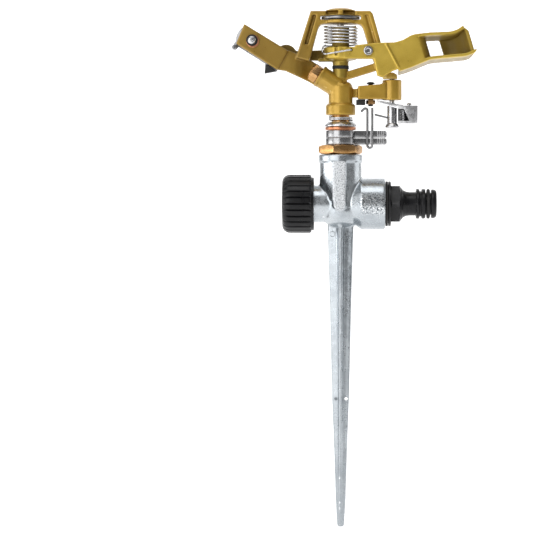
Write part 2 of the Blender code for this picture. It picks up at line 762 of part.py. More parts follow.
def bridge_nut():
    return shifted(cut(hexagon(4.6, 244.2, 246.7, 0.0, 0.3), cylinder(1.7, 240, 250, SMALL)), SCREW_X)


def trip_spindle():
    pin = turned([
        (0, 230.8), (3.2, 230.8), (3.4, 231.4), (3.0, 233.0), (2.3, 233.4), (2.3, 243.3), (1.5, 243.3),
        (1.5, 261.0), (0, 261.0),
    ], 20)
    start, end = Vector(ROD_START), Vector(ROD_END)
    rod_hole = tube([start - (end - start) * 0.04, end], ROD_RADIUS + GAP, TINY)
    return cut(shifted(pin, TRIP_X), rod_hole)


def trip_hammer():
    outline = [(25.6, 258.7), (30.9, 258.7), (30.9, 261.2), (29.6, 262.3), (27.0, 262.3), (25.6, 261.0)]
    return cut(extruded(outline, -5.2, 2.4), shifted(cylinder(1.8, 255, 261.4, SMALL), TRIP_X))


def trip_bracket():
    """A folded steel sheet: a sloping leaf under the boss and an open box that holds the trip spring."""
    leaf_side = [(21.0, 246.6), (34.2, 244.0), (36.0, 243.8), (36.0, 242.9), (34.0, 243.0), (21.0, 245.7)]
    leaf = extruded(leaf_side, -3.7, 3.7)
    box = cut(
        block((33.2, -4.0, 233.4), (44.2, 4.0, 243.4)),
        block((30.0, -3.2, 234.2), (43.4, 3.2, 242.6)),
        extruded([(32.0, 241.6), (36.4, 241.6), (39.6, 234.6), (32.0, 234.6)], -5.0, -3.0),
    )
    return cut(
        union(box, leaf),
        shifted(cylinder(1.9, 240, 250, SMALL), TRIP_X),
        shifted(cylinder(1.1, 240, 250, SMALL), BRACKET_RIVET_X),
    )


def bracket_rivet():
    profile = [(0, 241.6), (0.8, 241.6), (0.8, 243.9), (1.5, 243.9), (1.2, 244.8), (0, 245.1)]
    return shifted(turned(profile, SMALL), BRACKET_RIVET_X)


def trip_spring_pin():
    return shifted(cylinder(0.8, 234.5, 242.3, SMALL), TRIP_SPRING_X)


def trip_spring():
    return shifted(tube(coil_points(1.65, 235.0, 241.9, 5.5, 9), 0.3, 4), TRIP_SPRING_X)


def trip_wire():
    """A hairpin of wire that hangs in front of the tabs, with a hook at its top."""
    y = -2.4
    loop = [(16.8 + a, z) for a, z in arc((0, 220.6), 1.4, 0, -180, 6)]
    path = [(18.2, 242.2), (18.2, 232.0)] + loop + [(15.4, 232.0), (15.4, 240.6), (14.9, 241.5)]
    path += [(13.9, 241.7), (12.6, 240.7), (11.8, 239.9)]
    return tube([(x, y, z) for x, z in path], 0.7, 8)


def trip_rod():
    return tube([ROD_START, ROD_END], ROD_RADIUS, 8)


# Assembly.

def build():
    clear_scene()
    paint = {name: make_material(name) for name in COLOURS}
    base = make_joint("base", (0, 0, 0))
    lower = make_joint("lower_collar_axis", (0, 0, LOWER_BAND[0]), base)
    upper = make_joint("upper_collar_axis", (0, 0, UPPER_BAND[0]), base)
    head = make_joint("head_axis", (0, 0, HEAD_BOTTOM), base)
    swing = make_joint("arm_axis", (0, 0, 266.8), head)
    flap = make_joint("flap_axis", (FLAP_SCREW[0], WALL_BACK + GAP, FLAP_SCREW[1]), head)
    trip = make_joint("trip_axis", (TRIP_X, 0, TRIP_BOSS[0]), head)
    wire = make_joint("trip_wire_axis", ROD_START, trip)

    add_piece("spike_body", spike_body(), paint["zinc"], base)
    add_piece("end_cap", end_cap(), paint["black_plastic"], base)
    add_piece("cap_gasket", along_x(ring(7.5, 12.8, -30.7, -29.1, FINE)), paint["rubber"], base)
    add_piece("hose_connector", hose_connector(), paint["black_plastic"], base)
    add_piece("connector_gasket", along_x(ring(10.6, 12.9, 26.0, 27.2, FINE)), paint["rubber"], base)
    add_piece("connector_oring", connector_oring(), paint["rubber"], base)
    add_piece("bearing_nut", bearing_nut(), paint["brass"], base)
    add_piece("stem_seal", ring(STEM_CLEARANCE, 8.6, 208.3, 209.4), paint["rubber"], base)
    add_piece("stem_washer", ring(STEM_CLEARANCE, 8.6, 209.7, 210.7), paint["nylon"], base)
    add_piece("thrust_washer", ring(STEM_CLEARANCE, 8.8, 229.5, 231.2), paint["copper"], base)
    add_piece("cone_washer", cone_washer(), paint["steel"], base)
    add_piece("brake_spring", brake_spring(), paint["steel"], base)
    add_piece("lower_collar", friction_band(*LOWER_BAND), paint["steel"], lower)
    add_piece("upper_collar", friction_band(*UPPER_BAND), paint["steel"], upper)

    add_piece("bearing_stem", bearing_stem(), paint["brass"], head)
    add_piece("head_body", head_body(), paint["gold_paint"], head)
    add_piece("nozzle", nozzle(), paint["brass"], head)
    add_piece("spindle", spindle(), paint["steel"], head)
    add_piece("spring_seat", spring_seat(), paint["steel"], head)
    add_piece("arm_washer", ring(2.2, 4.8, 264.4, 266.5, 24), paint["rubber"], head)
    add_piece("bridge_screw", bridge_screw(), paint["rubber"], head)
    add_piece("bridge_nut", bridge_nut(), paint["brass"], head)
    add_piece("bridge_pad", block((9.9, -4.0, 243.9), (14.2, 4.0, 246.8)), paint["rubber"], head)
    add_piece("arm_spring", arm_spring(), paint["steel"], head)

    add_piece("arm", arm(), paint["gold_paint"], swing)
    add_piece("arm_rivet", arm_rivet(), paint["steel"], swing)

    add_piece("flap_screw", flap_screw(), paint["steel"], head)
    add_piece("flap_ring", flap_part(1.9, 4.25, 1.0, 1.5), paint["copper"], head)
    add_piece("flap_washer", flap_part(1.9, 3.5, 0.1, 0.7), paint["rubber"], head)
    add_piece("flap_nut", flap_nut(), paint["steel"], head)
    add_piece("deflector_flap", deflector_flap(), paint["steel"], flap)
    add_piece("flap_bumper", flap_bumper(), paint["rubber"], flap)

    add_piece("trip_spindle", trip_spindle(), paint["steel"], trip)
    add_piece("trip_hammer", trip_hammer(), paint["gold_paint"], trip)
    add_piece("trip_bracket", trip_bracket(), paint["steel"], trip)
    add_piece("bracket_rivet", bracket_rivet(), paint["steel"], trip)
    add_piece("trip_spring_pin", trip_spring_pin(), paint["steel"], trip)
    add_piece("trip_spring", trip_spring(), paint["steel"], trip)
    add_piece("trip_wire", trip_wire(), paint["steel"], wire)
    add_piece("trip_rod", trip_rod(), paint["steel"], wire)


build()
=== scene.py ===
"""Finished look of the impact sprinkler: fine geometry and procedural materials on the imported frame.

Shapes are made in millimetres, in the frame's axes, and scaled to metres when they become objects.
"""
from math import asin, cos, degrees, pi, radians, sin, sqrt

import bmesh
import bpy
from mathutils import Matrix, Vector


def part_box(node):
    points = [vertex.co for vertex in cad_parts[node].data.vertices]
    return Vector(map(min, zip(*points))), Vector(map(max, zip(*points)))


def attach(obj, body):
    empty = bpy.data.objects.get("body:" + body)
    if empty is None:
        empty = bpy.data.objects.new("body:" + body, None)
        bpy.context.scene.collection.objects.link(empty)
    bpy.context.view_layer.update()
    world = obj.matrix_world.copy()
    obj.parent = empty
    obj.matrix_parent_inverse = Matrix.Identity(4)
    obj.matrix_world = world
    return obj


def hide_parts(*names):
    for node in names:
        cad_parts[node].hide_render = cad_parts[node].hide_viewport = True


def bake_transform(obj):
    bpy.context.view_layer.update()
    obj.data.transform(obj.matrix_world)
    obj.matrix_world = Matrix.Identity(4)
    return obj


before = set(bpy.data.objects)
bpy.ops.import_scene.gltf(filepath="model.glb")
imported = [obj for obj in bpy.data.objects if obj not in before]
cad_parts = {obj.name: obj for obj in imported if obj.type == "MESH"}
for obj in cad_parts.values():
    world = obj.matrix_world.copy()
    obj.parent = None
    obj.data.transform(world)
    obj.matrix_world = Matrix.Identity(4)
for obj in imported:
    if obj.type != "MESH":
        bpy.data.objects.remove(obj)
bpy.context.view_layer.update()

MM = 0.001
FINE = 96
ROUND = 64
SMALL = 32
GAP = 0.3
CORNER_STEPS = 3
RIB_STEPS = 16
NUT_FACE_INSET = 0.25
WELD_DISTANCE = 0.001
BEVEL_ANGLE = radians(32)

# The rounded end of a wire: the tip's radius and its depth, as shares of the wire's radius.
TIP_SHARE = 0.6
TIP_DEPTH = 0.35


def low(node, axis):
    """Lowest coordinate of a CAD node along an axis, in millimetres."""
    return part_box(node)[0]["XYZ".index(axis)] / MM


def high(node, axis):
    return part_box(node)[1]["XYZ".index(axis)] / MM


def middle(node, axis):
    return (low(node, axis) + high(node, axis)) / 2


# Driving values, read from the frame.
BRANCH_Z = middle("hose_connector", "Z")
BODY_TOP = low("bearing_nut", "Z") + 4.3
NUT_TOP = low("lower_collar", "Z") - GAP
SOCKET_END = low("connector_gasket", "X") - GAP
CAP_MOUTH = high("end_cap", "X") - 1.4
CAP_END = low("end_cap", "X")
CAP_RADIUS = (high("end_cap", "Z") - low("end_cap", "Z")) / 2
CONNECTOR_END = high("hose_connector", "X")
HEAD_BOTTOM = low("head_body", "Z")
CROWN_TOP = high("head_body", "Z")
POST_TOP = low("arm_washer", "Z") - GAP
HUB_BOTTOM = low("arm", "Z")
TRIP_X = middle("trip_spindle", "X")
SCREW_X = middle("bridge_screw", "X")
TRIP_SPRING_X = middle("trip_spring_pin", "X")
BRACKET_RIVET_X = middle("bracket_rivet", "X")
FLAP_SCREW = (middle("flap_screw", "X"), middle("flap_screw", "Z"))
RIVET_AT = (middle("arm_rivet", "X"), middle("arm_rivet", "Z"))

# Bare sizes that no CAD box gives, in millimetres.
BODY_RADIUS = 12.1
NECK_RADIUS = 10.6
SOCKET_START = 11.6
SOCKET_RADIUS = 14.7
SOCKET_BORE = 10.6
PAD_HALF_WIDTH = 3.6
PAD_CENTRE_X = -0.7
CAP_RIBS = 28
CONNECTOR_BORE = 4.6
STEM_CLEARANCE = 5.3
STEM_BORE = 3.6
BAND_INNER = 7.7
BAND_OUTER = 8.6
TUBE_RADIUS = 6.95
BARREL_RISE = radians(32.3)
BARREL_ROOT_Z = HEAD_BOTTOM + 15
BARREL_RADIUS = 6.2
BARREL_LENGTH = 14.5
LEG_DEPTH = 4.7
ARM_FRONT = -9.8
ARM_BACK = -5.2
PLATE_BACK = -7.4
SPOON_FRONT = -9.2
SPOON_DEPTH = 8.5
SPOON_FLOOR_SLOPE = -0.09
SPOON_ROOF_SLOPE = -0.13
PLATE_FACE = 1.8
WALL_BACK = 5.6

# Cells that cast pieces are re-meshed with, in metres, and how often their surface is relaxed.
CAST_CELL = 0.00034
SPIKE_CELL = 0.00048
CAST_RELAX = 8


# Shapes: each function returns a closed bmesh in millimetres.

def closed(bm):
    bmesh.ops.recalc_face_normals(bm, faces=bm.faces)
    return bm


def moved(bm, matrix):
    bmesh.ops.transform(bm, matrix=matrix, verts=bm.verts)
    return bm


def spun(angle, axis):
    return Matrix.Rotation(radians(angle), 4, axis)


def shifted(bm, x, y=0.0, z=0.0):
    return moved(bm, Matrix.Translation((x, y, z)))


def turned(profile, segments=FINE, turn=0.0):
    """Turn (radius, z) points about Z. They start and end on the axis, or close on themselves."""
    bm = bmesh.new()
    rings = []
    for radius, z in profile:
        count = segments if radius > 0 else 1
        angles = [turn + 2 * pi * k / segments for k in range(count)]
        rings.append([bm.verts.new((radius * cos(a), radius * sin(a), z)) for a in angles])
    pairs = list(zip(rings, rings[1:]))
    if profile[0][0] > 0:
        pairs.append((rings[-1], rings[0]))
    for bottom, top in pairs:
        for k in range(segments):
            after = (k + 1) % segments
            corners = (
                bottom[k % len(bottom)], bottom[after % len(bottom)],
                top[after % len(top)], top[k % len(top)],
            )
            unique = list(dict.fromkeys(corners))
            if len(unique) > 2:
                bm.faces.new(unique)
    return closed(bm)


def rounded(profile, radius, open_ends):
    """Round the corners of a profile. One that starts on the axis keeps its two ends."""
    points = []
    count = len(profile)
    for k, corner in enumerate(profile):
        if open_ends and k in (0, count - 1):
            points.append(corner)
            continue
        here = Vector(corner)
        before = Vector(profile[k - 1]) - here
        after = Vector(profile[(k + 1) % count]) - here
        reach = min(radius, before.length * 0.45, after.length * 0.45)
        start = here + before.normalized() * reach
        end = here + after.normalized() * reach
        for step in range(CORNER_STEPS + 1):
            t = step / CORNER_STEPS
            point = start * (1 - t) ** 2 + here * 2 * t * (1 - t) + end * t ** 2
            points.append((point.x, point.y))
    return points


def turned_soft(profile, radius, segments=FINE):
    """A turned shape whose corners are rounded."""
    return turned(rounded(profile, radius, profile[0][0] == 0), segments)


def cylinder(radius, bottom, top, segments=FINE, turn=0.0):
    return turned([(0, bottom), (radius, bottom), (radius, top), (0, top)], segments, turn)


def bore(radius, bottom, top, x=0.0):
    return shifted(cylinder(radius, bottom, top, SMALL), x)


def soft_ring(inner, outer, bottom, top, radius=0.2):
    return turned_soft([(inner, bottom), (outer, bottom), (outer, top), (inner, top)], radius)


def hex_nut(flats, bottom, top, turn, chamfer):
    """A hexagonal prism with the curved chamfers that turning leaves on its corners."""
    corner = flats / sqrt(3)
    flat = flats / 2 - NUT_FACE_INSET
    prism = cylinder(corner, bottom, top, 6, turn)
    lens = turned([
        (0, bottom), (flat, bottom), (corner + 0.1, bottom + chamfer),
        (corner + 0.1, top - chamfer), (flat, top), (0, top),
    ])
    return common(prism, lens)


def block(near, far):
    bm = bmesh.new()
    bmesh.ops.create_cube(bm, size=1)
    size = Vector(far) - Vector(near)
    centre = (Vector(far) + Vector(near)) / 2
    return moved(bm, Matrix.Translation(centre) @ Matrix.Diagonal((*size, 1)))


def extruded(outline, near, far, axis="Y"):
    """Extrude a flat outline: (x, z) points along Y, or (x, y) points along Z."""
    bm = bmesh.new()
    bottoms, tops = [], []
    for first, second in outline:
        for level, verts in ((near, bottoms), (far, tops)):
            place = (first, level, second) if axis == "Y" else (first, second, level)
            verts.append(bm.verts.new(place))
    bm.faces.new(bottoms)
    bm.faces.new(tops)
    count = len(outline)
    for k in range(count):
        after = (k + 1) % count
        bm.faces.new((bottoms[k], bottoms[after], tops[after], tops[k]))
    return closed(bm)


def arc(centre, radius, start, end, steps=24):
    """Points on an arc, with the angles in degrees."""
    angles = [radians(start + (end - start) * k / steps) for k in range(steps + 1)]
    return [(centre[0] + radius * cos(a), centre[1] + radius * sin(a)) for a in angles]


def smooth_path(points, steps=6):
    """A smooth curve through the points (Catmull-Rom), in two or three dimensions."""
    path = [Vector(p) for p in points]
    ends = [path[0] * 2 - path[1]] + path + [path[-1] * 2 - path[-2]]
    result = []
    for k in range(1, len(ends) - 2):
        a, b, c, d = ends[k - 1:k + 3]
        for step in range(steps):
            t = step / steps
            result.append(
                (b * 2 + (c - a) * t + (a * 2 - b * 5 + c * 4 - d) * t ** 2
                 + (b * 3 - a - c * 3 + d) * t ** 3) / 2
            )
    result.append(path[-1])
    return result


def band(path, thickness):
    """The outline of a strip of even thickness along a path, with square ends."""
    left, right = [], []
    for k, point in enumerate(path):
        before = Vector(path[max(k - 1, 0)])
        after = Vector(path[min(k + 1, len(path) - 1)])
        direction = (after - before).normalized()
        side = Vector((-direction.y, direction.x)) * thickness / 2
        left.append(tuple(Vector(point) + side))
        right.append(tuple(Vector(point) - side))
    return left + right[::-1]


def tube(points, radius, sides):
    """A round wire along a path, with rounded ends."""
    path = [Vector(p) for p in points]
    steps = [(b - a).normalized() for a, b in zip(path, path[1:])]
    tangents = [steps[0]] + [(a + b).normalized() for a, b in zip(steps, steps[1:])] + [steps[-1]]
    angles = [2 * pi * k / sides for k in range(sides)]
    normal = tangents[0].orthogonal().normalized()
    sections = []
    for k, (point, tangent) in enumerate(zip(path, tangents)):
        normal = (normal - tangent * normal.dot(tangent)).normalized()
        across = tangent.cross(normal)
        spokes = [normal * cos(a) + across * sin(a) for a in angles]
        stations = [(point, radius)]
        if k == 0:
            stations = [(point, radius * TIP_SHARE), (point + tangent * radius * TIP_DEPTH, radius)]
        if k == len(path) - 1:
            stations = [(point - tangent * radius * TIP_DEPTH, radius), (point, radius * TIP_SHARE)]
        sections += [[centre + spoke * reach for spoke in spokes] for centre, reach in stations]
    return lofted(sections)


def coil_points(radius, bottom, top, turns, per_turn, start=0.0):
    """Points up a coil. A negative number of turns winds it clockwise, seen from above."""
    count = round(abs(turns) * per_turn)
    points = []
    for k in range(count + 1):
        angle = start + 2 * pi * turns * k / count
        height = bottom + (top - bottom) * k / count
        points.append((radius * cos(angle), radius * sin(angle), height))
    return points


def lofted(sections):
    """Join outlines of equal length, each a list of 3-D points, into one closed body."""
    bm = bmesh.new()
    rings = [[bm.verts.new(p) for p in section] for section in sections]
    for bottom, top in zip(rings, rings[1:]):
        for k in range(len(bottom)):
            after = (k + 1) % len(bottom)
            bm.faces.new((bottom[k], bottom[after], top[after], top[k]))
    bm.faces.new(rings[0])
    bm.faces.new(rings[-1])
    return closed(bm)


def along_x(bm):
    """Lay a shape turned about Z along +X, on the axis of the branch."""
    return moved(bm, Matrix.Translation((0, 0, BRANCH_Z)) @ spun(90, "Y"))


def along_barrel(bm):
    """Lay a shape turned about Z along the barrel, with z = 0 where the barrel meets the tube."""
    tilt = Matrix.Rotation(BARREL_RISE - radians(90), 4, "Y")
    return moved(bm, Matrix.Translation((0, 0, BARREL_ROOT_Z)) @ tilt)


def along_y(bm, x, z):
    """Lay a shape turned about Z along +Y, through the point (x, z)."""
    return moved(bm, Matrix.Translation((x, 0, z)) @ spun(-90, "X"))


def linked(name, data):
    thing = bpy.data.objects.new(name, data)
    bpy.context.scene.collection.objects.link(thing)
    return thing


def as_object(name, bm):
    mesh = bpy.data.meshes.new(name)
    bm.to_mesh(mesh)
    bm.free()
    return linked(name, mesh)


def remove_object(shape):
    mesh = shape.data
    bpy.data.objects.remove(shape)
    bpy.data.meshes.remove(mesh)


def modified(target):
    """An object as a bmesh with its modifiers applied; the object is removed."""
    bm = bmesh.new()
    bm.from_object(target, bpy.context.evaluated_depsgraph_get())
    remove_object(target)
    return bm


def combined(base, others, operation):
    """Boolean each of the other shapes with the base one, one after another."""
    for other in others:
        target = as_object("shape", base)
        tool = as_object("shape", other)
        modifier = target.modifiers.new("boolean", "BOOLEAN")
        modifier.operation = operation
        modifier.solver = "EXACT"
        modifier.object = tool
        base = modified(target)
        remove_object(tool)
        bmesh.ops.remove_doubles(base, verts=base.verts, dist=WELD_DISTANCE)
    return base


def union(base, *others):
    return combined(base, others, "UNION")


def cut(base, *others):
    return combined(base, others, "DIFFERENCE")


def common(base, *others):
    return combined(base, others, "INTERSECT")


def cast(bm, cell=CAST_CELL):
    """Give a shape the soft edges and filleted corners of a die casting."""
    target = as_object("shape", bm)
    remesh = target.modifiers.new("remesh", "REMESH")
    remesh.mode = "VOXEL"
    remesh.voxel_size = cell / MM
    relaxed = target.modifiers.new("relax", "SMOOTH")
    relaxed.factor = 0.5
    relaxed.iterations = CAST_RELAX
    return modified(target)


def bevelled(bm, width, segments=3):
    """Round the sharp edges of a shape."""
    target = as_object("shape", bm)
    bevel = target.modifiers.new("bevel", "BEVEL")
    bevel.width = width
    bevel.segments = segments
    bevel.limit_method = "ANGLE"
    bevel.angle_limit = BEVEL_ANGLE
    return modified(target)


# Materials.

class Look:
    """Builds one procedural material. Distances in it are in metres, as the objects are."""

    def __init__(self, name, roughness, metallic=0.0, coat=0.0, coat_roughness=0.1, specular=0.5):
        self.material = bpy.data.materials.new(name)
        self.material.use_nodes = True
        self.tree = self.material.node_tree
        self.shader = self.tree.nodes["Principled BSDF"]
        for socket, value in (
            ("Roughness", roughness), ("Metallic", metallic), ("Coat Weight", coat),
            ("Coat Roughness", coat_roughness), ("Specular IOR Level", specular),
        ):
            self.shader.inputs[socket].default_value = value
        self.place = self.add("TexCoord").outputs["Object"]
        self.height = None

    def add(self, kind, inputs=None, **settings):
        node = self.tree.nodes.new("ShaderNode" + kind)
        for key, value in settings.items():
            setattr(node, key, value)
        for key, value in (inputs or {}).items():
            self.feed(node.inputs[key], value)
        return node

    def feed(self, socket, value):
        if isinstance(value, bpy.types.NodeSocket):
            self.tree.links.new(value, socket)
        else:
            socket.default_value = value

    def stretched(self, scale):
        return self.add("Mapping", {"Vector": self.place, "Scale": scale}).outputs["Vector"]

    def noise(self, scale, detail, roughness=0.55, place=None):
        return self.add("TexNoise", {
            "Vector": place or self.place, "Scale": scale, "Detail": detail, "Roughness": roughness,
        }).outputs["Fac"]

    def edges(self, start, end):
        """1 on outer edges and 0 elsewhere, or the other way round for hollows."""
        pointed = self.add("NewGeometry").outputs["Pointiness"]
        return self.spread(pointed, start, end)

    def spread(self, value, start, end, least=0.0, most=1.0):
        return self.add("MapRange", {
            "Value": value, "From Min": start, "From Max": end, "To Min": least, "To Max": most,
        }).outputs["Result"]

    def ramp(self, axis, start, end, least=0.0, most=1.0):
        """A value that changes along X, Y or Z, between two places in metres."""
        place = self.add("SeparateXYZ", {0: self.place}).outputs[axis]
        return self.spread(place, start, end, least, most)

    def maths(self, operation, value, other):
        return self.add("Math", {0: value, 1: other}, operation=operation).outputs[0]

    def times(self, value, other):
        return self.maths("MULTIPLY", value, other)

    def plus(self, value, other):
        return self.maths("ADD", value, other)

    def uneven(self, scale, detail, least, most, roughness=0.55):
        """Noise stretched from least to most, for a finish that isn't quite even."""
        return self.spread(self.noise(scale, detail, roughness), 0.3, 0.7, least, most)

    def mixed(self, factor, first, second):
        node = self.add("Mix", data_type="RGBA")
        self.feed(node.inputs[0], factor)
        for index, value in ((6, first), (7, second)):
            self.feed(node.inputs[index], value if isinstance(value, bpy.types.NodeSocket) else (*value, 1))
        return node.outputs[2]

    def bump(self, height, distance, strength):
        inputs = {"Height": height, "Distance": distance, "Strength": strength}
        if self.height is not None:
            inputs["Normal"] = self.height
        self.height = self.add("Bump", inputs).outputs["Normal"]

    def finished(self, colour, roughness=None, metallic=None):
        for socket, value in (("Base Color", colour), ("Roughness", roughness), ("Metallic", metallic)):
            if value is not None:
                self.feed(self.shader.inputs[socket], value)
        if self.height is not None:
            self.feed(self.shader.inputs["Normal"], self.height)
        return self.material


def gold_paint(name, tint, inside=0.0, coat=0.3, specular=0.5):
    """Metallic olive-gold enamel with a fine orange peel, with the paint thin from wear on the edges, which
    are also painted brighter as a highlight.

    It is painted darker towards the nozzle's side and in its hollows, as shade. The value of inside is how
    much painted shade darkens it behind the arm's face.
    """
    # tint scales the colours; the arm's copy is painted paler with it, as light.
    def toned(*colour):
        return tuple(min(1.0, part * share) for part, share in zip(colour, tint))

    look = Look(name, 0.36, 0.5, coat, 0.2, specular)
    cloud = look.noise(60, 4)
    fleck = look.noise(2600, 2, 0.6)
    body = look.mixed(look.spread(cloud, 0.35, 0.65), toned(0.40, 0.262, 0.030), toned(0.48, 0.325, 0.044))
    flecked = look.mixed(look.spread(fleck, 0.55, 0.72, 0.0, 0.35), body, toned(0.60, 0.43, 0.09))
    # Painted shade: the enamel is darker in the hollows.
    hollow = look.edges(0.49, 0.44)
    shaded = look.mixed(look.times(hollow, 0.75), flecked, (0.11, 0.06, 0.008))
    # Part wear, part painted highlight: patches on the outer edges are lighter.
    worn_and_highlit = look.times(look.edges(0.53, 0.62), look.spread(look.noise(420, 4, 0.65), 0.36, 0.58))
    # Painted shade: the enamel gets darker towards the nozzle's side, along -X.
    side_shaded = look.mixed(look.ramp("X", -0.001, -0.022, 0.0, 0.42), shaded, (0.05, 0.03, 0.01))
    # Painted shade: the enamel gets darker behind the arm's front face, inside the spoon.
    behind = look.ramp("Y", -0.0088, -0.003, 0.0, inside)
    inside_shaded = look.mixed(behind, side_shaded, (0.07, 0.04, 0.005))
    colour = look.mixed(look.times(worn_and_highlit, 0.8), inside_shaded, (0.78, 0.64, 0.26))
    look.bump(look.noise(900, 2), 0.00003, 0.6)
    look.bump(look.noise(3500, 2), 0.00001, 0.5)
    roof = look.times(behind, look.ramp("Z", 0.273, 0.278))
    peel = look.uneven(300, 4, 0.27, 0.44)
    rough = look.plus(peel, look.times(roof, 0.7))
    return look.finished(colour, rough, look.spread(roof, 0.0, 0.6, 0.5, 0.05))


def cast_zinc():
    """Bare zinc die casting with a grainy skin and duller clouds: sandy on the pad and pitted on the socket.

    The spike is painted about a fifth darker than the body above it, as shade. Hollows are painted darker, as
    shade, and outer edges lighter, as a highlight.
    """
    look = Look("cast_zinc", 0.3, 0.95)
    cloud = look.noise(45, 5, 0.6)
    grain = look.noise(1500, 1, 0.6)
    pad = look.ramp("Y", -0.0121, -0.0126)
    for axis, outside, inside in (("X", 0.0045, 0.0035), ("Z", 0.2116, 0.2110)):
        pad = look.times(pad, look.ramp(axis, outside, inside))
    sandy = look.spread(pad, 0.0, 1.0, 0.08, 1.0)
    bright = look.mixed(look.spread(cloud, 0.35, 0.68), (0.36, 0.395, 0.425), (0.55, 0.585, 0.61))
    # Painted shade: the spike, below the body, is darker.
    body = look.mixed(look.ramp("Z", 0.178, 0.170, 0.0, 0.26), bright, (0.10, 0.12, 0.14))
    pale = look.mixed(sandy, body, (0.74, 0.76, 0.78))
    specks = look.times(look.spread(grain, 0.48, 0.66), sandy)
    grained = look.mixed(specks, pale, (0.26, 0.28, 0.30))
    socket = look.times(look.ramp("Y", -0.0128, -0.0143), look.ramp("X", 0.0105, 0.0125))
    pitted = look.mixed(look.times(look.spread(grain, 0.56, 0.62), socket), grained, (0.10, 0.11, 0.12))
    frosted = look.mixed(look.times(look.spread(grain, 0.46, 0.40), socket), pitted, (0.92, 0.94, 0.95))
    # Painted shade: the zinc is darker in the hollows.
    hollow = look.mixed(look.times(look.edges(0.49, 0.43), 0.5), frosted, (0.10, 0.12, 0.14))
    # Painted highlight: the outer edges are lighter.
    colour = look.mixed(look.times(look.edges(0.53, 0.60), 0.6), hollow, (0.90, 0.92, 0.94))
    look.bump(look.noise(300, 3, 0.6), 0.00022, 0.7)
    look.bump(look.times(grain, sandy), 0.00003, 0.8)
    smooth = look.uneven(210, 4, 0.18, 0.34, 0.6)
    rough = look.plus(smooth, look.times(sandy, 0.3))
    return look.finished(colour, rough, look.spread(pad, 0.0, 1.0, 0.95, 0.55))


def machined(name, dark, light, roughness, marks=(1500, 1500, 500)):
    """Turned metal with fine tool marks and light tarnish, and a painted highlight on its edges."""
    look = Look(name, roughness, 1.0)
    marked = look.noise(1.0, 3, 0.6, look.stretched(marks))
    tarnish = look.noise(190, 5, 0.62)
    body = look.mixed(look.spread(tarnish, 0.36, 0.66), dark, light)
    # Painted highlight: the edges are lighter.
    edge = tuple(min(1.0, c * 1.35) for c in light)
    colour = look.mixed(look.times(look.edges(0.52, 0.6), 0.45), body, edge)
    look.bump(marked, 0.0000002, 0.7)
    return look.finished(colour, look.spread(marked, 0.3, 0.7, roughness - 0.04, roughness + 0.05))


def plated_steel(name="plated_steel", shade=1.0, roughness=0.22, inside=0.0):
    """Bright zinc-plated steel, with a slightly uneven plating.

    The value of inside is how much painted shade darkens it behind the front wall of the trip bracket. The
    value of shade scales its colour, for copies painted darker or lighter as light and shade.
    """
    look = Look(name, roughness, 1.0)
    cloud = look.noise(260, 4, 0.6)
    dark = tuple(shade * c for c in (0.42, 0.42, 0.43))
    light = tuple(shade * c for c in (0.66, 0.66, 0.67))
    body = look.mixed(look.spread(cloud, 0.35, 0.65), dark, light)
    # Painted shade: darker behind the front wall of the trip bracket.
    inside_shaded = look.mixed(look.ramp("Y", -0.0031, -0.0024, 0.0, inside), body, (0.01, 0.01, 0.01))
    # Painted shade: the steel is darker in the hollows.
    colour = look.mixed(look.times(look.edges(0.49, 0.44), 0.5), inside_shaded, tuple(0.4 * c for c in dark))
    look.bump(look.noise(1500, 2), 0.0000015, 0.5)
    return look.finished(colour, look.uneven(700, 3, roughness - 0.06, roughness + 0.1))


def moulded_plastic():
    """Black moulded plastic with a fine spark texture and edges greyer from rubbing, partly as a painted
    highlight.
    """
    look = Look("black_plastic", 0.3, specular=0.26)
    cloud = look.noise(120, 4)
    body = look.mixed(look.spread(cloud, 0.35, 0.65), (0.005, 0.005, 0.006), (0.011, 0.011, 0.012))
    # Part wear, part painted highlight: patches on the outer edges are greyer.
    rubbed_and_highlit = look.times(look.edges(0.53, 0.62), look.spread(look.noise(500, 4), 0.4, 0.6))
    colour = look.mixed(look.times(rubbed_and_highlit, 0.6), body, (0.075, 0.075, 0.08))
    look.bump(look.noise(2300, 2), 0.00002, 0.6)
    return look.finished(colour, look.uneven(260, 4, 0.24, 0.40))


def moulded_rubber():
    look = Look("black_rubber", 0.72, specular=0.35)
    cloud = look.spread(look.noise(240, 4), 0.35, 0.65)
    body = look.mixed(cloud, (0.012, 0.012, 0.012), (0.024, 0.023, 0.022))
    look.bump(look.noise(1800, 3), 0.00003, 0.6)
    return look.finished(body, look.uneven(500, 3, 0.6, 0.82))


def natural_nylon():
    look = Look("natural_nylon", 0.5)
    body = look.mixed(look.spread(look.noise(150, 4), 0.35, 0.65), (0.66, 0.63, 0.55), (0.78, 0.75, 0.68))
    look.bump(look.noise(1400, 2), 0.00002, 0.5)
    return look.finished(body, look.uneven(400, 3, 0.42, 0.58))


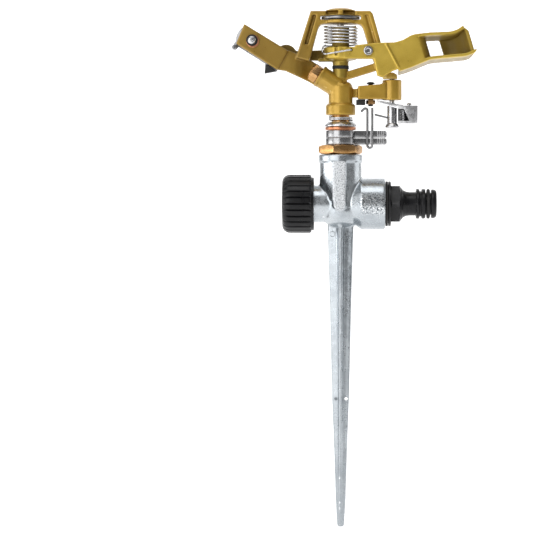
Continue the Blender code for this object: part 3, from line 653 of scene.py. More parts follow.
LOOKS = {
    "gold_paint": gold_paint("gold_enamel", (1.05, 0.95, 0.9)),
    # Painted light: the arm's enamel is the head's paint, painted paler as a lit copy, with painted shade
    # behind its face.
    "lit_gold": gold_paint("gold_enamel_lit", (1.25, 1.3, 1.55), 0.62, 0.15, 0.3),
    # Painted light and shade: the steel of the bands, the flap, the seat and the wires are darker copies of
    # the plated steel, and the bracket's a lighter copy with painted shade inside.
    "shaded_band_steel": plated_steel("shaded_band_steel", 0.66, 0.24),
    "shaded_steel": plated_steel("shaded_steel", 0.5, 0.3),
    "lit_shaded_bracket_steel": plated_steel("lit_shaded_bracket_steel", 1.35, 0.28, 0.9),
    "zinc": cast_zinc(),
    "brass": machined("turned_brass", (0.42, 0.225, 0.08), (0.64, 0.375, 0.16), 0.25, (60, 60, 2200)),
    "copper": machined("copper_washer", (0.40, 0.16, 0.08), (0.62, 0.28, 0.15), 0.34),
    "steel": plated_steel(),
    "black_plastic": moulded_plastic(),
    "rubber": moulded_rubber(),
    "nylon": natural_nylon(),
}


def show(name, bm, slot, body, *nodes, angle=40, look=None):
    """Make the finished piece that replaces CAD nodes, and moves with their body."""
    bmesh.ops.scale(bm, vec=(MM, MM, MM), verts=bm.verts)
    piece = as_object(name, closed(bm))
    piece.data.materials.append(LOOKS[look or slot])
    piece.data.shade_smooth()
    piece.data.set_sharp_from_angle(angle=radians(angle))
    if body is not None:
        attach(piece, body)
    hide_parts(*nodes)
    return piece


# Ground spike and water body.

SPIKE_SECTIONS = (
    (0, 1.1, 0.8, 0.1),
    (0.9, 2, 1, 0.3),
    (16, 2.9, 1.1, 0.6),
    (45, 3.8, 1.2, 0.9),
    (74, 4.9, 1.3, 1.2),
    (131, 6.2, 1.5, 1.7),
    (172, 7.4, 1.7, 2.2),
    (180, 7.4, 1.7, 2.2),
)


def cross_outline(z, half_width, half_thickness, fillet):
    """A cross with rounded tips and filleted inner corners, at height z.

    Its right wing is flat in front, and its front rib slopes away to the right of a ridge.
    """
    quarter = [
        (half_width - 0.1, -half_thickness * 0.6), (half_width, -half_thickness * 0.3),
        (half_width, half_thickness * 0.3), (half_width - 0.1, half_thickness * 0.6),
        (half_thickness + fillet, half_thickness),
        (half_thickness + fillet * 0.5, half_thickness + fillet * 0.13),
        (half_thickness + fillet * 0.29, half_thickness + fillet * 0.29),
        (half_thickness + fillet * 0.13, half_thickness + fillet * 0.5),
        (half_thickness, half_thickness + fillet),
    ]
    points = []
    for k in range(4):
        turn = Matrix.Rotation(radians(90) * k, 2)
        points += [turn @ Vector(p) for p in quarter]
    for k, share in ((0, 2), (1, 3), (29, 0.8), (30, 0.62)):
        points[k].y *= share
    return [(p.x, p.y, z) for p in points]


def spike_casting():
    spike = lofted([cross_outline(*section) for section in SPIKE_SECTIONS])
    body = turned([
        (0, 173.8), (5.5, 174.2), (9, 176.2), (11.3, 179), (BODY_RADIUS, 182.5), (BODY_RADIUS, 211),
        (12.6, 211.4), (12.6, BODY_TOP - 0.3), (12.3, BODY_TOP), (0, BODY_TOP),
    ])
    cap_neck = along_x(cylinder(NECK_RADIUS, -19, 2))
    cap_thread = along_x(turned([
        (0, -28.8), (12.2, -28.8), (13, -28), (13, -18.4), (0, -18.4),
    ]))
    socket = along_x(turned([
        (0, 0.5), (10.2, 0.5), (10.8, SOCKET_START - 6.1), (12.6, SOCKET_START - 3),
        (14.2, SOCKET_START - 0.6), (SOCKET_RADIUS, SOCKET_START), (SOCKET_RADIUS, SOCKET_END - 0.6),
        (14.1, SOCKET_END),
        (0, SOCKET_END),
    ]))
    low_centre = (PAD_CENTRE_X, BRANCH_Z - 3.8 + PAD_HALF_WIDTH)
    pad_outline = arc(low_centre, PAD_HALF_WIDTH, 180, 360)
    pad_outline += [(PAD_CENTRE_X + PAD_HALF_WIDTH, 211.2), (PAD_CENTRE_X - PAD_HALF_WIDTH, 211.2)]
    pad = extruded(pad_outline, -12.75, -9.5)
    casting = union(spike, body, cap_neck, cap_thread, socket, pad)
    flank = extruded([(-4.2, -12.65), (-8.5, -8.6), (-4.2, -8.6)], BRANCH_Z + 2, 211.2, "Z")
    hollowed = cut(
        union(casting, flank),
        cylinder(9.3, 203.5, BODY_TOP + 1),
        cylinder(8, BRANCH_Z - 2, 204),
        along_x(cylinder(7.5, -30, 13)),
        along_x(cylinder(SOCKET_BORE, 12.2, SOCKET_END + 1)),
    )
    marks = [
        along_y(cylinder(radius, near, far, ROUND), x, z)
        for x, z, radius, near, far in ((-2.7, 74.3, 0.95, -2.5, -1), (3.2, 74.3, 0.95, -2.5, 2.5))
    ]
    marks += [
        along_y(turned([(1.3, -2.5), (1.6, -2.5), (1.6, depth), (1.3, depth)], SMALL), x, 169.6)
        for x, depth in ((-4.7, -1.3), (4.2, -1.5))
    ]
    return cut(cast(hollowed, SPIKE_CELL), *marks)


# Cap and hose connector.

def groove_share(step):
    """The share of a groove's full depth at a place across one rib, with the groove at both ends."""
    near = max(0, 1 - min(step, 1 - step) / 0.19)
    return near * near * (3 - 2 * near)


def ribbed_section(x, radius, groove):
    points = []
    for k in range(CAP_RIBS * RIB_STEPS):
        step = (k % RIB_STEPS) / RIB_STEPS
        reach = radius - groove * groove_share(step)
        angle = 2 * pi * k / (CAP_RIBS * RIB_STEPS)
        points.append((reach * cos(angle), reach * sin(angle), x))
    return points


def screw_cap():
    closed_part = [
        (0, 12.6, 0), (0, 13.4, 0), (0.15, 13.9, 0), (0.5, 14.7, 0.05), (1, 15.35, 0.2),
        (1.7, 15.95, 0.45), (2.6, 16.45, 0.8), (3.6, CAP_RADIUS - 0.1, 1), (5, CAP_RADIUS, 1.05),
    ]
    open_part = [(1.6, 0, 1.05), (0.9, 0.05, 0.95), (0.4, 0.3, 0.5), (0.1, 0.7, 0.1), (0, 1.1, 0)]
    sections = [(CAP_END + x, radius, groove) for x, radius, groove in closed_part]
    sections += [(CAP_MOUTH - x, CAP_RADIUS - less, groove) for x, less, groove in open_part]
    shell = lofted([ribbed_section(*section) for section in sections])
    lip = turned_soft(
        [(13.9, CAP_MOUTH - 0.5), (15.2, CAP_MOUTH - 0.5), (15.2, CAP_MOUTH + 1.4),
         (13.9, CAP_MOUTH + 1.4)], 0.25,
    )
    hollow = cylinder(13.4, -31, CAP_MOUTH + 2)
    dish = turned([(0, CAP_END - 1), (11.4, CAP_END - 1), (10.9, CAP_END + 0.6),
                   (0, CAP_END + 0.6)])
    hub = turned_soft([(0, CAP_END + 0.1), (4.4, CAP_END + 0.1), (4.8, CAP_END + 0.9),
                       (0, CAP_END + 0.9)], 0.15)
    return along_x(union(cut(union(shell, lip), hollow, dish), hub))


def quick_connector():
    """Hose connector: flange and hexagon, cone, neck, two collars, groove for the ring and a rounded nose."""
    profile = [
        (0, 13.2), (9.4, 13.2), (10.2, 14), (10.2, 27.5), (12.9, 27.5), (12.9, 28.9), (9.4, 29),
        (9.4, 34.8), (7.9, 36), (7.1, 37.6), (6.8, 39.6), (6.8, 43.4), (8.2, 43.4), (8.6, 43.8),
        (8.6, 45), (8.2, 45.4), (7.3, 45.4),
        (7.3, 46.6), (8.2, 46.6), (8.6, 47), (8.6, 48.4), (8.2, 48.8), (6.35, 48.8), (6.35, 52.2),
        (8.3, 52.2), (8.3, 53.6), (7.9, 54.6), (7.2, CONNECTOR_END), (0, CONNECTOR_END),
    ]
    turning = turned_soft(profile, 0.3)
    hexagon = hex_nut(20.5, 28.7, 34.5, radians(30), 0.9)
    channel = turned([
        (0, 10), (CONNECTOR_BORE, 10), (CONNECTOR_BORE, CONNECTOR_END - 0.7),
        (CONNECTOR_BORE + 0.8, CONNECTOR_END + 0.1), (0, CONNECTOR_END + 0.1),
    ])
    vanes = [moved(block((-0.45, -6.7, 36.4), (0.45, 6.7, 43.3)), spun(a, "Z"))
             for a in (45, 135)]
    return along_x(cut(union(turning, hexagon, *vanes), channel))


def connector_ring():
    return along_x(turned(arc((7.65, 50.5), 0.95, 0, 352.5, 23)))


# Bearing stack.

def brass_nut():
    hexagon = hex_nut(12.85 * sqrt(3), BODY_TOP + GAP, NUT_TOP, radians(11), 1)
    boss = cylinder(BAND_INNER - GAP, NUT_TOP - 1, 229.2)
    shank = cylinder(9, 211, BODY_TOP + GAP + 1)
    return bevelled(cut(union(hexagon, boss, shank), cylinder(STEM_CLEARANCE, 200, 240)), 0.12, 2)


def stem():
    return turned_soft([
        (STEM_BORE, 206), (8.6, 206), (8.6, 208), (5, 208), (5, 243), (STEM_BORE, 243),
    ], 0.2, ROUND)


def friction_band(bottom, top):
    """A spring-steel band round the bearing: its ends run out side by side, with rolled outer corners."""
    tab_end = high("lower_collar", "X")
    tab_root = tab_end - 1.2
    outer_angle = degrees(asin(1.2 / BAND_OUTER))
    inner_angle = degrees(asin(0.3 / BAND_INNER))
    outline = [(tab_end - 0.25, 1.2)]
    outline += arc((0, 0), BAND_OUTER, outer_angle, 360 - outer_angle, 96)
    outline += [(tab_end - 0.25, -1.2), (tab_end, -0.95), (tab_end, -0.3)]
    outline += arc((0, 0), BAND_INNER, 360 - inner_angle, inner_angle, 96)
    outline += [(tab_end, 0.3), (tab_end, 0.95)]
    strip = extruded(outline, bottom, top, "Z")
    half = (top - bottom) / 2
    corner = extruded([
        (tab_end + 2, bottom - 1), (tab_end + 2, top + 1), (tab_root, top + 1), (tab_root, top),
        *[(tab_root + x, bottom + half + z) for x, z in arc((0, half - 1.2), 1.2, 90, 0, 8)],
        *[(tab_root + x, bottom + half + z) for x, z in arc((0, 1.2 - half), 1.2, 0, -90, 8)],
        (tab_root, bottom - 1),
    ], -4, 4)
    flutes = [
        block((tab_end - x, -2, bottom - 1), (tab_end - x + 0.3, -1, top + 1))
        for x in (1.3, 2.4, 3.5, 4.6, 5.7, 9.8)
    ]
    return bevelled(cut(strip, corner, *flutes), 0.1, 2)


def cone():
    return turned_soft([
        (STEM_CLEARANCE, 231.5), (9.2, 231.5), (9.2, 232.4), (7.4, 234.1), (STEM_CLEARANCE, 234.1),
    ], 0.25)


# Head.

def barrel():
    profile = [
        (0, 0), (BARREL_RADIUS, 0), (BARREL_RADIUS, BARREL_LENGTH - 1.6), (6.55, BARREL_LENGTH - 1.5),
        (6.55, BARREL_LENGTH - 0.2), (6.3, BARREL_LENGTH), (0, BARREL_LENGTH),
    ]
    return along_barrel(turned(profile))


def bridge_frame():
    """The frame over the arm: two splayed legs, a crown and rounded inner corners."""
    outside = [
        (-17.2, 297.6), (-25.6, 271), (-18, 269), (-17.1, 272), (-12.9, 287.6),
        (-11.6, 289.6), (-9.6, 290.2), (9.6, 290.2), (11.6, 289.6), (12.9, 287.6), (17.6, 272),
        (20.4, 265), (26.6, 264.2), (22.8, 280.8), (18.5, 296), (17, 297.6),
    ]
    return extruded(outside, -LEG_DEPTH, LEG_DEPTH)


def crown():
    return turned([
        (0, 290.4), (8.6, 290.4), (9.3, 291), (9.3, 297.3), (8.3, 298.2), (5.5, 299.1), (2.8, 299.6),
        (0, CROWN_TOP),
    ])


def leg_groove(sign, front):
    """The recess along the front or the back of a leg."""
    outline = [(-15.9, 295.4), (-13.9, 295.4), (-18.8, 278.4), (-20.8, 278.4)]
    depth = 2.8 if sign < 0 else 1.2
    near, far = (-LEG_DEPTH - 1, -LEG_DEPTH + depth) if front else (LEG_DEPTH - 1.2, LEG_DEPTH + 1)
    return extruded([(-sign * x, z) for x, z in outline], near, far)


def crown_window(sign):
    """A pocket under the rim of the crown, in front."""
    near, far = sorted((sign * 1.3, sign * 8.2))
    return block((near, -12, 295.4), (far, -1.5, 297.6))


def deflector_wall():
    """The curved wall from the barrel past the nozzle, and the flat plate at its end."""
    side = [
        (-36, 264.3), (-31.9, 263.7), (-18.9, 257.8), (-12.9, 254.4), (-7, 251.5), (-5, 256),
        (-7.5, 262.5), (-12.5, 267), (-18.8, 271), (-25.3, 273.6), (-29.4, 275.2), (-31, 275.6),
    ]
    centreline = [
        (-3, 7.1), (-17.5, 7.1), (-20, 6.6), (-23, 5.3), (-26, 4.5), (-29, 4.3), (-36.5, 4.3),
    ]
    wall = common(extruded(side, 0, 12), extruded(band(centreline, 2.6), 240, 290, "Z"))
    plate_outline = [(-55.6, 290.7), (-60.3, 279.3), (-36.5, 264.1), (-30.2, 275.2)]
    plate = extruded(plate_outline, PLATE_FACE, WALL_BACK)
    web = block((-12, 2, 255.5), (-7.5, 7.6, 262))
    seam = moved(
        block((-0.45, -1, -9), (0.45, 3, 9)),
        Matrix.Translation((-32.9, 0, 269.6)) @ spun(29, "Y"),
    )
    return cut(union(wall, plate, web), seam)


def trip_bridge():
    """The side bar of the casting, which holds the trip spindle in its end boss."""
    neck = block((4, -0.6, 248.2), (11, 3.8, 253.2))
    bar_outline = [(9.9, 247.1), (26, 247.1), (26, 257), (22.6, 255.6), (9.9, 254.6)]
    bar = extruded(bar_outline, -5.4, 5.4)
    boss = shifted(cylinder(5.5, 246.6, 258.2), TRIP_X)
    return union(bar, neck, boss)


def head_casting():
    tube_shape = turned([
        (0, HEAD_BOTTOM), (8.2, HEAD_BOTTOM), (8.55, HEAD_BOTTOM + 0.4), (8.55, 243.4), (7.7, 244.4),
        (TUBE_RADIUS, 244.6), (TUBE_RADIUS, 254.3), (6.2, 256), (4.2, 257.6), (0, 258),
    ])
    post = cylinder(3.8, 252, POST_TOP)
    strut = extruded([(1.5, 257.6), (21, 263.6), (24.5, 264.6), (22, 268.6), (1.5, 262.4)], -2.6, 2.6)
    shoulder = extruded([(-3.9, 264.6), (2.1, 255.6), (7.4, 259), (7.4, 268)], -8, 8)
    casting = union(
        cut(union(tube_shape, barrel()), shoulder), post, strut, bridge_frame(), crown(), deflector_wall(),
        trip_bridge(),
    )
    relieved = cut(
        casting,
        block((-11.6, -12, 292.65), (11.6, 12, 294.8)),
        crown_window(-1), crown_window(1),
        *[leg_groove(sign, front) for sign in (-1, 1) for front in (True, False)],
    )
    return cut(
        cast(relieved),
        bore(STEM_CLEARANCE, HEAD_BOTTOM - 1, 243.3),
        bore(4.2, 243, BARREL_ROOT_Z + 0.5),
        along_barrel(bore(5, 0, BARREL_LENGTH + 1)),
        bore(2.2, 260.6, POST_TOP + 1),
        bore(2.2, 289, 297.4),
        bore(1.9, 240, 262, TRIP_X),
        bore(1.7, 240, 262, SCREW_X),
        along_y(bore(1.9, -5, 12), *FLAP_SCREW),
    )


def jet_nozzle():
    hexagon = hex_nut(9.6, BARREL_LENGTH + GAP, BARREL_LENGTH + 4.9, radians(20), 0.5)
    body = union(
        cylinder(4.7, 8.4, BARREL_LENGTH + 1), hexagon,
        turned_soft([(0, 18), (4, 18), (4, 19.6), (3.4, 20.2), (0, 20.2)], 0.2),
    )
    waterway = turned([(0, 7), (3.6, 7), (3.6, 13), (2, 18), (2, 22), (0, 22)], SMALL)
    return along_barrel(bevelled(cut(body, waterway), 0.1, 2))


def pivot():
    return turned_soft([(0, 261), (1.9, 261), (1.9, 297), (0, 297)], 0.35, ROUND)


# Swinging arm.

def leaning(bm, foot):
    """Lean a shape back by 0.3 in X for each unit of height above its foot."""
    shear = Matrix.Identity(4)
    shear[0][2] = -0.3
    return moved(bm, Matrix.Translation((0, 0, foot)) @ shear @ Matrix.Translation((0, 0, -foot)))


def dropping(bm, slope):
    """Let a shape drop towards the back, from the front edge of the spoon."""
    shear = Matrix.Identity(4)
    shear[2][1] = slope
    edge = Matrix.Translation((0, SPOON_FRONT, 0))
    return moved(bm, edge @ shear @ edge.inverted())


def arm_spoon():
    """The water spoon: two flanges, a slanted inner vane and a curved outer vane, open front and back."""
    bottom_edge = smooth_path([
        (33.2, 263.6), (40.5, 266), (48.2, 269.2), (52.8, 270.6), (67.2, 271.9), (72.5, 272.6),
        (78, 275),
    ], 4)
    bottom = dropping(extruded(band(bottom_edge, 1.7), SPOON_FRONT, SPOON_DEPTH), SPOON_FLOOR_SLOPE)
    top_edge = smooth_path([
        (42.6, 283.2), (52, 284.2), (62.6, 284.7), (66.8, 286.1), (70.4, 288.3),
    ], 4)
    top = dropping(extruded(band(top_edge, 1.7), SPOON_FRONT, SPOON_DEPTH), SPOON_ROOF_SLOPE)
    vane = smooth_path([(47.4, -8.6), (49.6, -5), (51.5, -1.5)], 4)
    inner = leaning(extruded(band(vane, 2), 269.4, 283.5, "Z"), 270)
    curve = arc((61.8, -6.8), 14.9, 97, 4, 36)
    outer = leaning(extruded(band(curve, 2), 271.4, 291, "Z"), 272)
    silhouette = [
        (30, 258), (42, 262), (52.8, 267), (68, 268.6), (74, 270), (78.2, 275.2),
        (73.6, 286), (69.9, 288.8), (67, 286.8), (63.5, 285.6), (52, 285.2), (41.5, 284.4),
    ]
    limit = extruded(silhouette, SPOON_FRONT, SPOON_DEPTH + 1)
    return common(union(top, inner, outer, bottom), limit)


def arm_plate():
    """The broad flat face between the bar and the spoon, with the hammer hanging under it."""
    broad = [
        (8.2, 277.6), (20, 279), (31, 279.3), (35.5, 280.6), (40, 283.2), (43.2, 284.2),
        (48.6, 269.6), (33.7, 264.2), (30.1, 263), (23.8, 259.2), (20.9, 260.1), (18.8, 269.8),
        (8.2, 269.8),
    ]
    thick = [
        (8.3, 277.5), (20, 278.9), (25.9, 279.1), (33.6, 264.4), (30.1, 263.1), (23.8, 259.3),
        (21, 260.2), (18.9, 269.9), (8.3, 269.9),
    ]
    ridge = extruded(band([(26, 278.6), (33.3, 264.9)], 0.7), ARM_FRONT - 0.3, PLATE_BACK - 0.2)
    return union(
        extruded(broad, SPOON_FRONT, PLATE_BACK), extruded(thick, ARM_FRONT, PLATE_BACK - 0.1), ridge,
    )


def arm_tail():
    """The counterweight, which passes behind the left leg."""
    plan = band(smooth_path([(-2, 6.2), (-7.5, 8.2), (-12, 9.9), (-18, 10.3), (-40, 10.3)]), 2.6)
    side = [(-1, 270.4), (-1, 276.4), (-12, 276), (-24, 275.6)]
    side += arc((-31.6, 273), 6.3, 25, 335, 36)
    side += [(-24, 270.2), (-12, 269.9)]
    return common(extruded(plan, 262, 284, "Z"), extruded(side, 2, 14))


def arm_casting():
    hub = turned([
        (0, HUB_BOTTOM), (4.3, HUB_BOTTOM), (4.6, 267.1), (4.6, 269), (8.6, 269.8), (9.8, 270.6),
        (9.8, 276.5), (9.4, 276.9), (5.2, 276.9), (5, 277.3), (5, 288.3), (4.7, 288.6), (0, 288.6),
    ])
    bar = block((2, ARM_FRONT + 0.01, 269.9), (19.5, ARM_BACK, 276.6))
    lip = extruded([(-13.2, 269.4), (-12.4, 268.7), (0, 268.7), (0, 270.6), (-12, 270.6)], -3.2, 3.2)
    shape = union(hub, bar, arm_plate(), arm_spoon(), arm_tail(), lip)
    relieved = cut(
        shape,
        block((-3.4, -14, 271.8), (-1.8, -8.2, 278)),
        block((3.6, -14, 276), (5, -8.2, 279)),
    )
    return cut(
        cast(relieved),
        bore(2.2, 260, 292),
        along_y(bore(1.7, -14, -2), *RIVET_AT),
        along_y(bore(0.95, -14, -6.5), 6.1, 274.9),
    )


def tubular_rivet():
    profile = [
        (0, 10.35), (0.8, 10.4), (1, 10.9), (1.25, 11.2), (1.7, 11.3), (2.5, 11.1), (2.85, 10.6),
        (2.85, 10.15), (1.4, 10.1), (1.4, 5.3), (0, 5.3),
    ]
    return along_y(turned([(radius, -y) for radius, y in profile], ROUND), *RIVET_AT)


def return_spring():
    """The spring round the hub. Its lower end crosses the hub in front and hooks into a hole."""
    hook = smooth_path([
        (6.1, -8.6, 274.9), (6.1, -10.4, 274.9), (5.2, -10.9, 274.8), (0, -10.7, 273.9),
        (-5, -10.4, 273.1), (-8.6, -8.6, 272.7), (-10.1, -6.6, 273.4), (-10.5, -5.2, 275.4),
        (-9.9, -4.6, 277.2),
    ])
    turns = coil_points(9.55, 277.9, 289.4, -6.5, 60, radians(205))
    return tube(hook + [Vector(p) for p in turns], 0.5, 12)


# Jet deflector.

def deflector_sheet():
    """A steel flap behind the plate, which turns about the screw and has a curled tip."""
    x, z = FLAP_SCREW
    front = low("deflector_flap", "Y") + 5
    outline = arc((x, z), 9.5, 122, 180, 16)
    outline += [(-62.2, 278.7), (-62.7, 277.3), (-62, 276), (-60.4, 276.2), (-59, 277.7)]
    outline += [(-47.1, 270.2), (-43.9, 268.1), (-43.9, 262.2), (-36.9, 263.5)]
    outline += [(-34.8, 268), (-44, 281)]
    sheet = extruded(outline, front, front + 0.8)
    tip = along_y(bore(1.2, front - 5, front + 0.6), -61.5, 277.3)
    return bevelled(cut(union(sheet, tip), along_y(bore(1.9, 0, 12), x, z)), 0.12, 2)


def shadow_wedge():
    """The black rubber wedge on the flap, under the lower edge of the plate: a dark piece standing for
    painted shadow, where the flap's corner lies in shade.
    """
    return bevelled(extruded([(-43.1, 267.7), (-43.8, 262.3), (-37.1, 263.6)], 2.2, WALL_BACK), 0.3, 3)


def slotted_screw():
    head = turned_soft([
        (0, -2), (1.3, -1.95), (1.9, -1.75), (2.3, -1.2), (2.3, -0.3), (1.6, -0.3), (1.6, 9.4), (0, 9.4),
    ], 0.2, ROUND)
    slot = moved(block((-4, -0.5, -3), (4, 0.5, -1.1)), spun(-35, "Z"))
    return along_y(bevelled(cut(head, slot), 0.06, 2), *FLAP_SCREW)


# Trip mechanism.

def domed_screw():
    profile = [
        (0, 243.2), (1.4, 243.2), (1.4, 255.9), (2.4, 255.9), (2.35, 256.3), (1.9, 256.8),
        (1.1, 257.1), (0, 257.2),
    ]
    return shifted(turned_soft(profile, 0.15, SMALL), SCREW_X)


def small_nut():
    return shifted(cut(hex_nut(4.6, 244.2, 246.7, 0, 0.35), bore(1.7, 240, 250)), SCREW_X)


ROD_START = Vector((28, 0, 236.3))
ROD_END = Vector((19.6, -2, 238.3))


def trip_pin():
    pin = turned_soft([
        (0, 230.8), (3.9, 230.8), (4.1, 231.4), (3.5, 232.6), (2.8, 233.4), (2.8, 243.3), (1.5, 243.3),
        (1.5, 261), (0, 261),
    ], 0.2, ROUND)
    hole = tube([ROD_START - (ROD_END - ROD_START) * 0.04, ROD_END], 0.85, SMALL)
    return cut(shifted(pin, TRIP_X), hole)


def hammer_block():
    outline = [(24.2, 258.7), (32.6, 258.7), (32.2, 261.2), (30.2, 262.3), (27, 262.3), (24.2, 260.6)]
    shape = cut(extruded(outline, -5.2, 2.4), bore(1.8, 255, 261.4, TRIP_X))
    return bevelled(shape, 0.4, 3)


def folded_bracket():
    """A folded steel sheet: a sloping leaf under the boss and an open box that holds the trip spring."""
    leaf_side = [(21, 246.6), (34.2, 244), (36, 243.8), (36, 242.9), (34, 243), (21, 245.7)]
    leaf = extruded(leaf_side, -3.7, 3.7)
    lip_side = [(23.5, 246), (34, 243.9), (34, 241.7), (31.5, 242), (23.5, 244.6)]
    lip = extruded(lip_side, -3.7, -3.1)
    box = cut(
        block((33.2, -4, 233.4), (44.2, 4, 243.4)),
        block((30, -3.2, 234.2), (43.4, 3.2, 242.6)),
        extruded([(32, 241.6), (36.4, 241.6), (39.6, 234.6), (32, 234.6)], -5, -3),
    )
    shape = cut(
        union(box, leaf, lip),
        bore(1.9, 240, 250, TRIP_X),
        bore(1.1, 240, 250, BRACKET_RIVET_X),
    )
    return bevelled(shape, 0.18, 3)


def small_rivet():
    profile = [
        (0, 241.6), (0.8, 241.6), (0.8, 243.9), (1.5, 243.9), (1.45, 244.4), (1.1, 244.85),
        (0.5, 245.05), (0, 245.1),
    ]
    return shifted(turned(profile, SMALL), BRACKET_RIVET_X)


def hairpin():
    """A hairpin of wire that hangs in front of the tabs, with a hook at its top."""
    y = middle("trip_wire", "Y")
    loop = [(16.8 + a, z) for a, z in arc((0, 220.6), 1.4, 0, -180, 16)]
    hook = smooth_path([
        (15.4, 238), (15.4, 240.6), (14.9, 241.5), (13.9, 241.7), (12.6, 240.7), (11.8, 239.9),
    ], 5)
    path = [(18.2, 242.2), (18.2, 232)] + loop + [(15.4, 232)] + [tuple(p) for p in hook]
    return tube([(x, y, z) for x, z in path], 0.7, 14)


def make_pieces():
    show("spike_casting", spike_casting(), "zinc", "base", "spike_body", angle=60)
    show("screw_cap", screw_cap(), "black_plastic", "base", "end_cap")
    show("quick_connector", quick_connector(), "black_plastic", "base", "hose_connector")
    show("flange_gasket", along_x(soft_ring(10.6, 12.9, 26.0, 27.2)), "rubber", "base", "connector_gasket")
    show("nose_ring", connector_ring(), "rubber", "base", "connector_oring")
    show("brass_nut", brass_nut(), "brass", "base", "bearing_nut")
    copper = soft_ring(STEM_CLEARANCE, 8.8, 229.5, 231.2, 0.3)
    show("copper_washer", copper, "copper", "base", "thrust_washer")
    show("cone_flange", cone(), "steel", "base", "cone_washer")
    brake = tube(coil_points(6.55, 234.95, 237.15, 2.6, 60), 0.5, 12)
    show("brake_coil", brake, "steel", "base", "brake_spring")
    for side in ("lower", "upper"):
        node = side + "_collar"
        strip = friction_band(low(node, "Z"), high(node, "Z"))
        # The bands get a darker copy of the steel, as painted shade.
        show(side + "_shaded_band_steel", strip, "steel", side + "_band", node, look="shaded_band_steel")

    show("stem_tube", stem(), "brass", "head", "bearing_stem")
    show("head_casting", head_casting(), "gold_paint", "head", "head_body", angle=50)
    show("jet_nozzle", jet_nozzle(), "brass", "head", "nozzle")
    show("arm_pivot", pivot(), "steel", "head", "spindle")
    seat = soft_ring(2.4, 11.0, 293.1, 294.3, 0.25)
    # The seat gets a darker copy of the steel, as painted shade.
    show("seat_disc", seat, "steel", "head", "spring_seat", look="shaded_steel")
    show("arm_ring", soft_ring(2.2, 4.8, 264.4, 266.5, 0.5), "rubber", "head", "arm_washer")
    show("domed_screw", domed_screw(), "rubber", "head", "bridge_screw")
    show("small_nut", small_nut(), "brass", "head", "bridge_nut")
    pad = bevelled(block((9.0, -4.0, 243.9), (14.2, 4.0, 246.8)), 0.4)
    show("stop_pad", pad, "rubber", "head", "bridge_pad")
    show("slotted_screw", slotted_screw(), "steel", "head", "flap_screw")
    screw_ring = shifted(along_y(soft_ring(2.4, 3.75, 1.0, 1.5, 0.12), *FLAP_SCREW), 0.48, 0, -0.48)
    show("screw_ring", screw_ring, "copper", "head", "flap_ring")
    washer = along_y(soft_ring(1.9, 3.3, 0.1, 0.7, 0.15), *FLAP_SCREW)
    show("screw_washer", washer, "rubber", "head", "flap_washer")
    nut = cut(hex_nut(5.5, 7.0, 9.0, 0.0, 0.4), bore(1.9, 5, 12))
    show("screw_nut", along_y(nut, *FLAP_SCREW), "steel", "head", "flap_nut")

    # The arm gets the lit copy of the enamel, painted paler as light.
    show("arm_casting", arm_casting(), "gold_paint", "swing_arm", "arm", angle=50, look="lit_gold")
    show("tubular_rivet", tubular_rivet(), "steel", "swing_arm", "arm_rivet")
    spring = show("return_spring", return_spring(), "steel", None, "arm_spring")
    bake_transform(spring)

    # The flap gets a darker copy of the steel, as painted shade.
    show("deflector_sheet", deflector_sheet(), "steel", "flap", "deflector_flap", look="shaded_steel")
    # Painted shadow: the black wedge stands for the flap's corner in shade.
    show("shadow_wedge", shadow_wedge(), "rubber", "flap", "flap_bumper")

    show("trip_pin", trip_pin(), "steel", "trip", "trip_spindle")
    show("hammer_block", hammer_block(), "gold_paint", "trip", "trip_hammer")
    # The bracket gets a lighter copy of the steel, as painted light, with painted shade inside.
    show("folded_bracket", folded_bracket(), "steel", "trip", "trip_bracket", look="lit_shaded_bracket_steel")
    show("small_rivet", small_rivet(), "steel", "trip", "bracket_rivet")
    post = turned_soft([(0, 234.5), (0.8, 234.5), (0.8, 242.3), (0, 242.3)], 0.15, SMALL)
    show("spring_post", shifted(post, TRIP_SPRING_X), "steel", "trip", "trip_spring_pin")
    small_coil = tube(coil_points(1.65, 235.0, 241.9, 4.5, 36), 0.36, 8)
    # The small coil and the wires get a darker copy of the steel, as painted shade.
    show("small_coil", shifted(small_coil, TRIP_SPRING_X), "steel", "trip", "trip_spring", look="shaded_steel")
    show("hairpin", hairpin(), "steel", "wire", "trip_wire", look="shaded_steel")
    show("hairpin_rod", tube([ROD_START, ROD_END], 0.55, 14), "steel", "wire", "trip_rod", look="shaded_steel")

    # Pieces inside the casting keep the frame's own shape and get a finished material.
    for node, name in (("cap_gasket", "rubber"), ("stem_seal", "rubber"), ("stem_washer", "nylon")):
        for material_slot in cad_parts[node].material_slots:
            material_slot.material = LOOKS[name]


# Studio.

def studio_white():
    """Matt white, with a little light of its own so that the background stays clean."""
    look = Look("studio_white", 0.9, specular=0.1)
    tint = look.mixed(look.noise(3, 2), (0.90, 0.90, 0.90), (0.92, 0.92, 0.92))
    look.shader.inputs["Emission Color"].default_value = (1, 1, 1, 1)
    look.shader.inputs["Emission Strength"].default_value = 0.55
    return look.finished(tint)


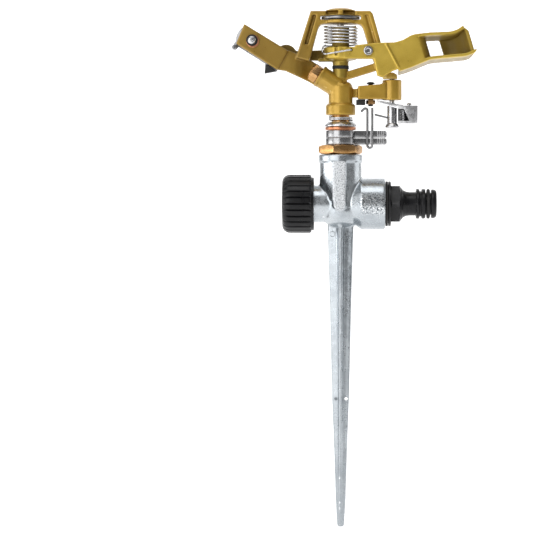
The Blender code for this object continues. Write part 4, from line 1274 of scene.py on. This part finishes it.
def make_stage():
    """A pale floor that curves up behind the object into a wall."""
    depth, radius, width = 1.3, 0.6, 1.6
    profile = [(-1.2, 0.0)]
    profile += [
        (depth + radius * sin(radians(a)), radius * (1 - cos(radians(a)))) for a in range(0, 91, 6)
    ]
    profile.append((depth + radius, 3.0))
    bm = bmesh.new()
    rows = [[bm.verts.new((x, y, z)) for x in (-width, width)] for y, z in profile]
    for near, far in zip(rows, rows[1:]):
        bm.faces.new((near[0], near[1], far[1], far[0]))
    sweep = as_object("studio_sweep", bm)
    sweep.data.shade_smooth()
    sweep.data.materials.append(studio_white())


def aimed(name, data, place, aim):
    """Put a light or the camera in the scene, turned towards a point."""
    thing = linked(name, data)
    thing.location = place
    thing.rotation_euler = (Vector(aim) - Vector(place)).to_track_quat("-Z", "Y").to_euler()
    return thing


def area_light(name, place, aim, size, power):
    data = bpy.data.lights.new(name, "AREA")
    data.shape = "RECTANGLE"
    data.size, data.size_y = size
    data.energy = power
    aimed(name, data, place, aim)


def make_lights():
    world = bpy.data.worlds.new("studio")
    bpy.context.scene.world = world
    world.use_nodes = True
    background = world.node_tree.nodes["Background"]
    background.inputs["Color"].default_value = (1, 1, 1, 1)
    background.inputs["Strength"].default_value = 0.22
    aim = (0.0, 0.0, 0.2)
    area_light("key_box", (-0.52, -0.75, 0.38), aim, (0.75, 0.9), 4.4)
    area_light("left_box", (-0.92, -0.06, 0.25), aim, (0.6, 0.9), 2.3)
    area_light("low_left_box", (-0.92, -0.06, 0.175), aim, (0.6, 0.13), 0.8)
    area_light("right_box", (0.92, 0.25, 0.25), aim, (0.7, 0.9), 2.6)
    area_light("top_box", (-0.1, -0.35, 1.1), aim, (0.9, 0.5), 3.2)
    area_light("backdrop", (0.0, 0.5, 1.4), (0.0, 1.9, 0.5), (2.0, 0.6), 8)


def make_camera():
    data = bpy.data.cameras.new("camera")
    data.lens = 140.4
    data.sensor_width = 36
    data.clip_start = 0.01
    data.shift_x = -0.139
    bpy.context.scene.camera = aimed("camera", data, (0.0, -1.2, 0.19), (0.0, 0.0, 0.1508))


make_pieces()
make_stage()
make_lights()
make_camera()
bpy.context.scene.view_settings.view_transform = "Standard"
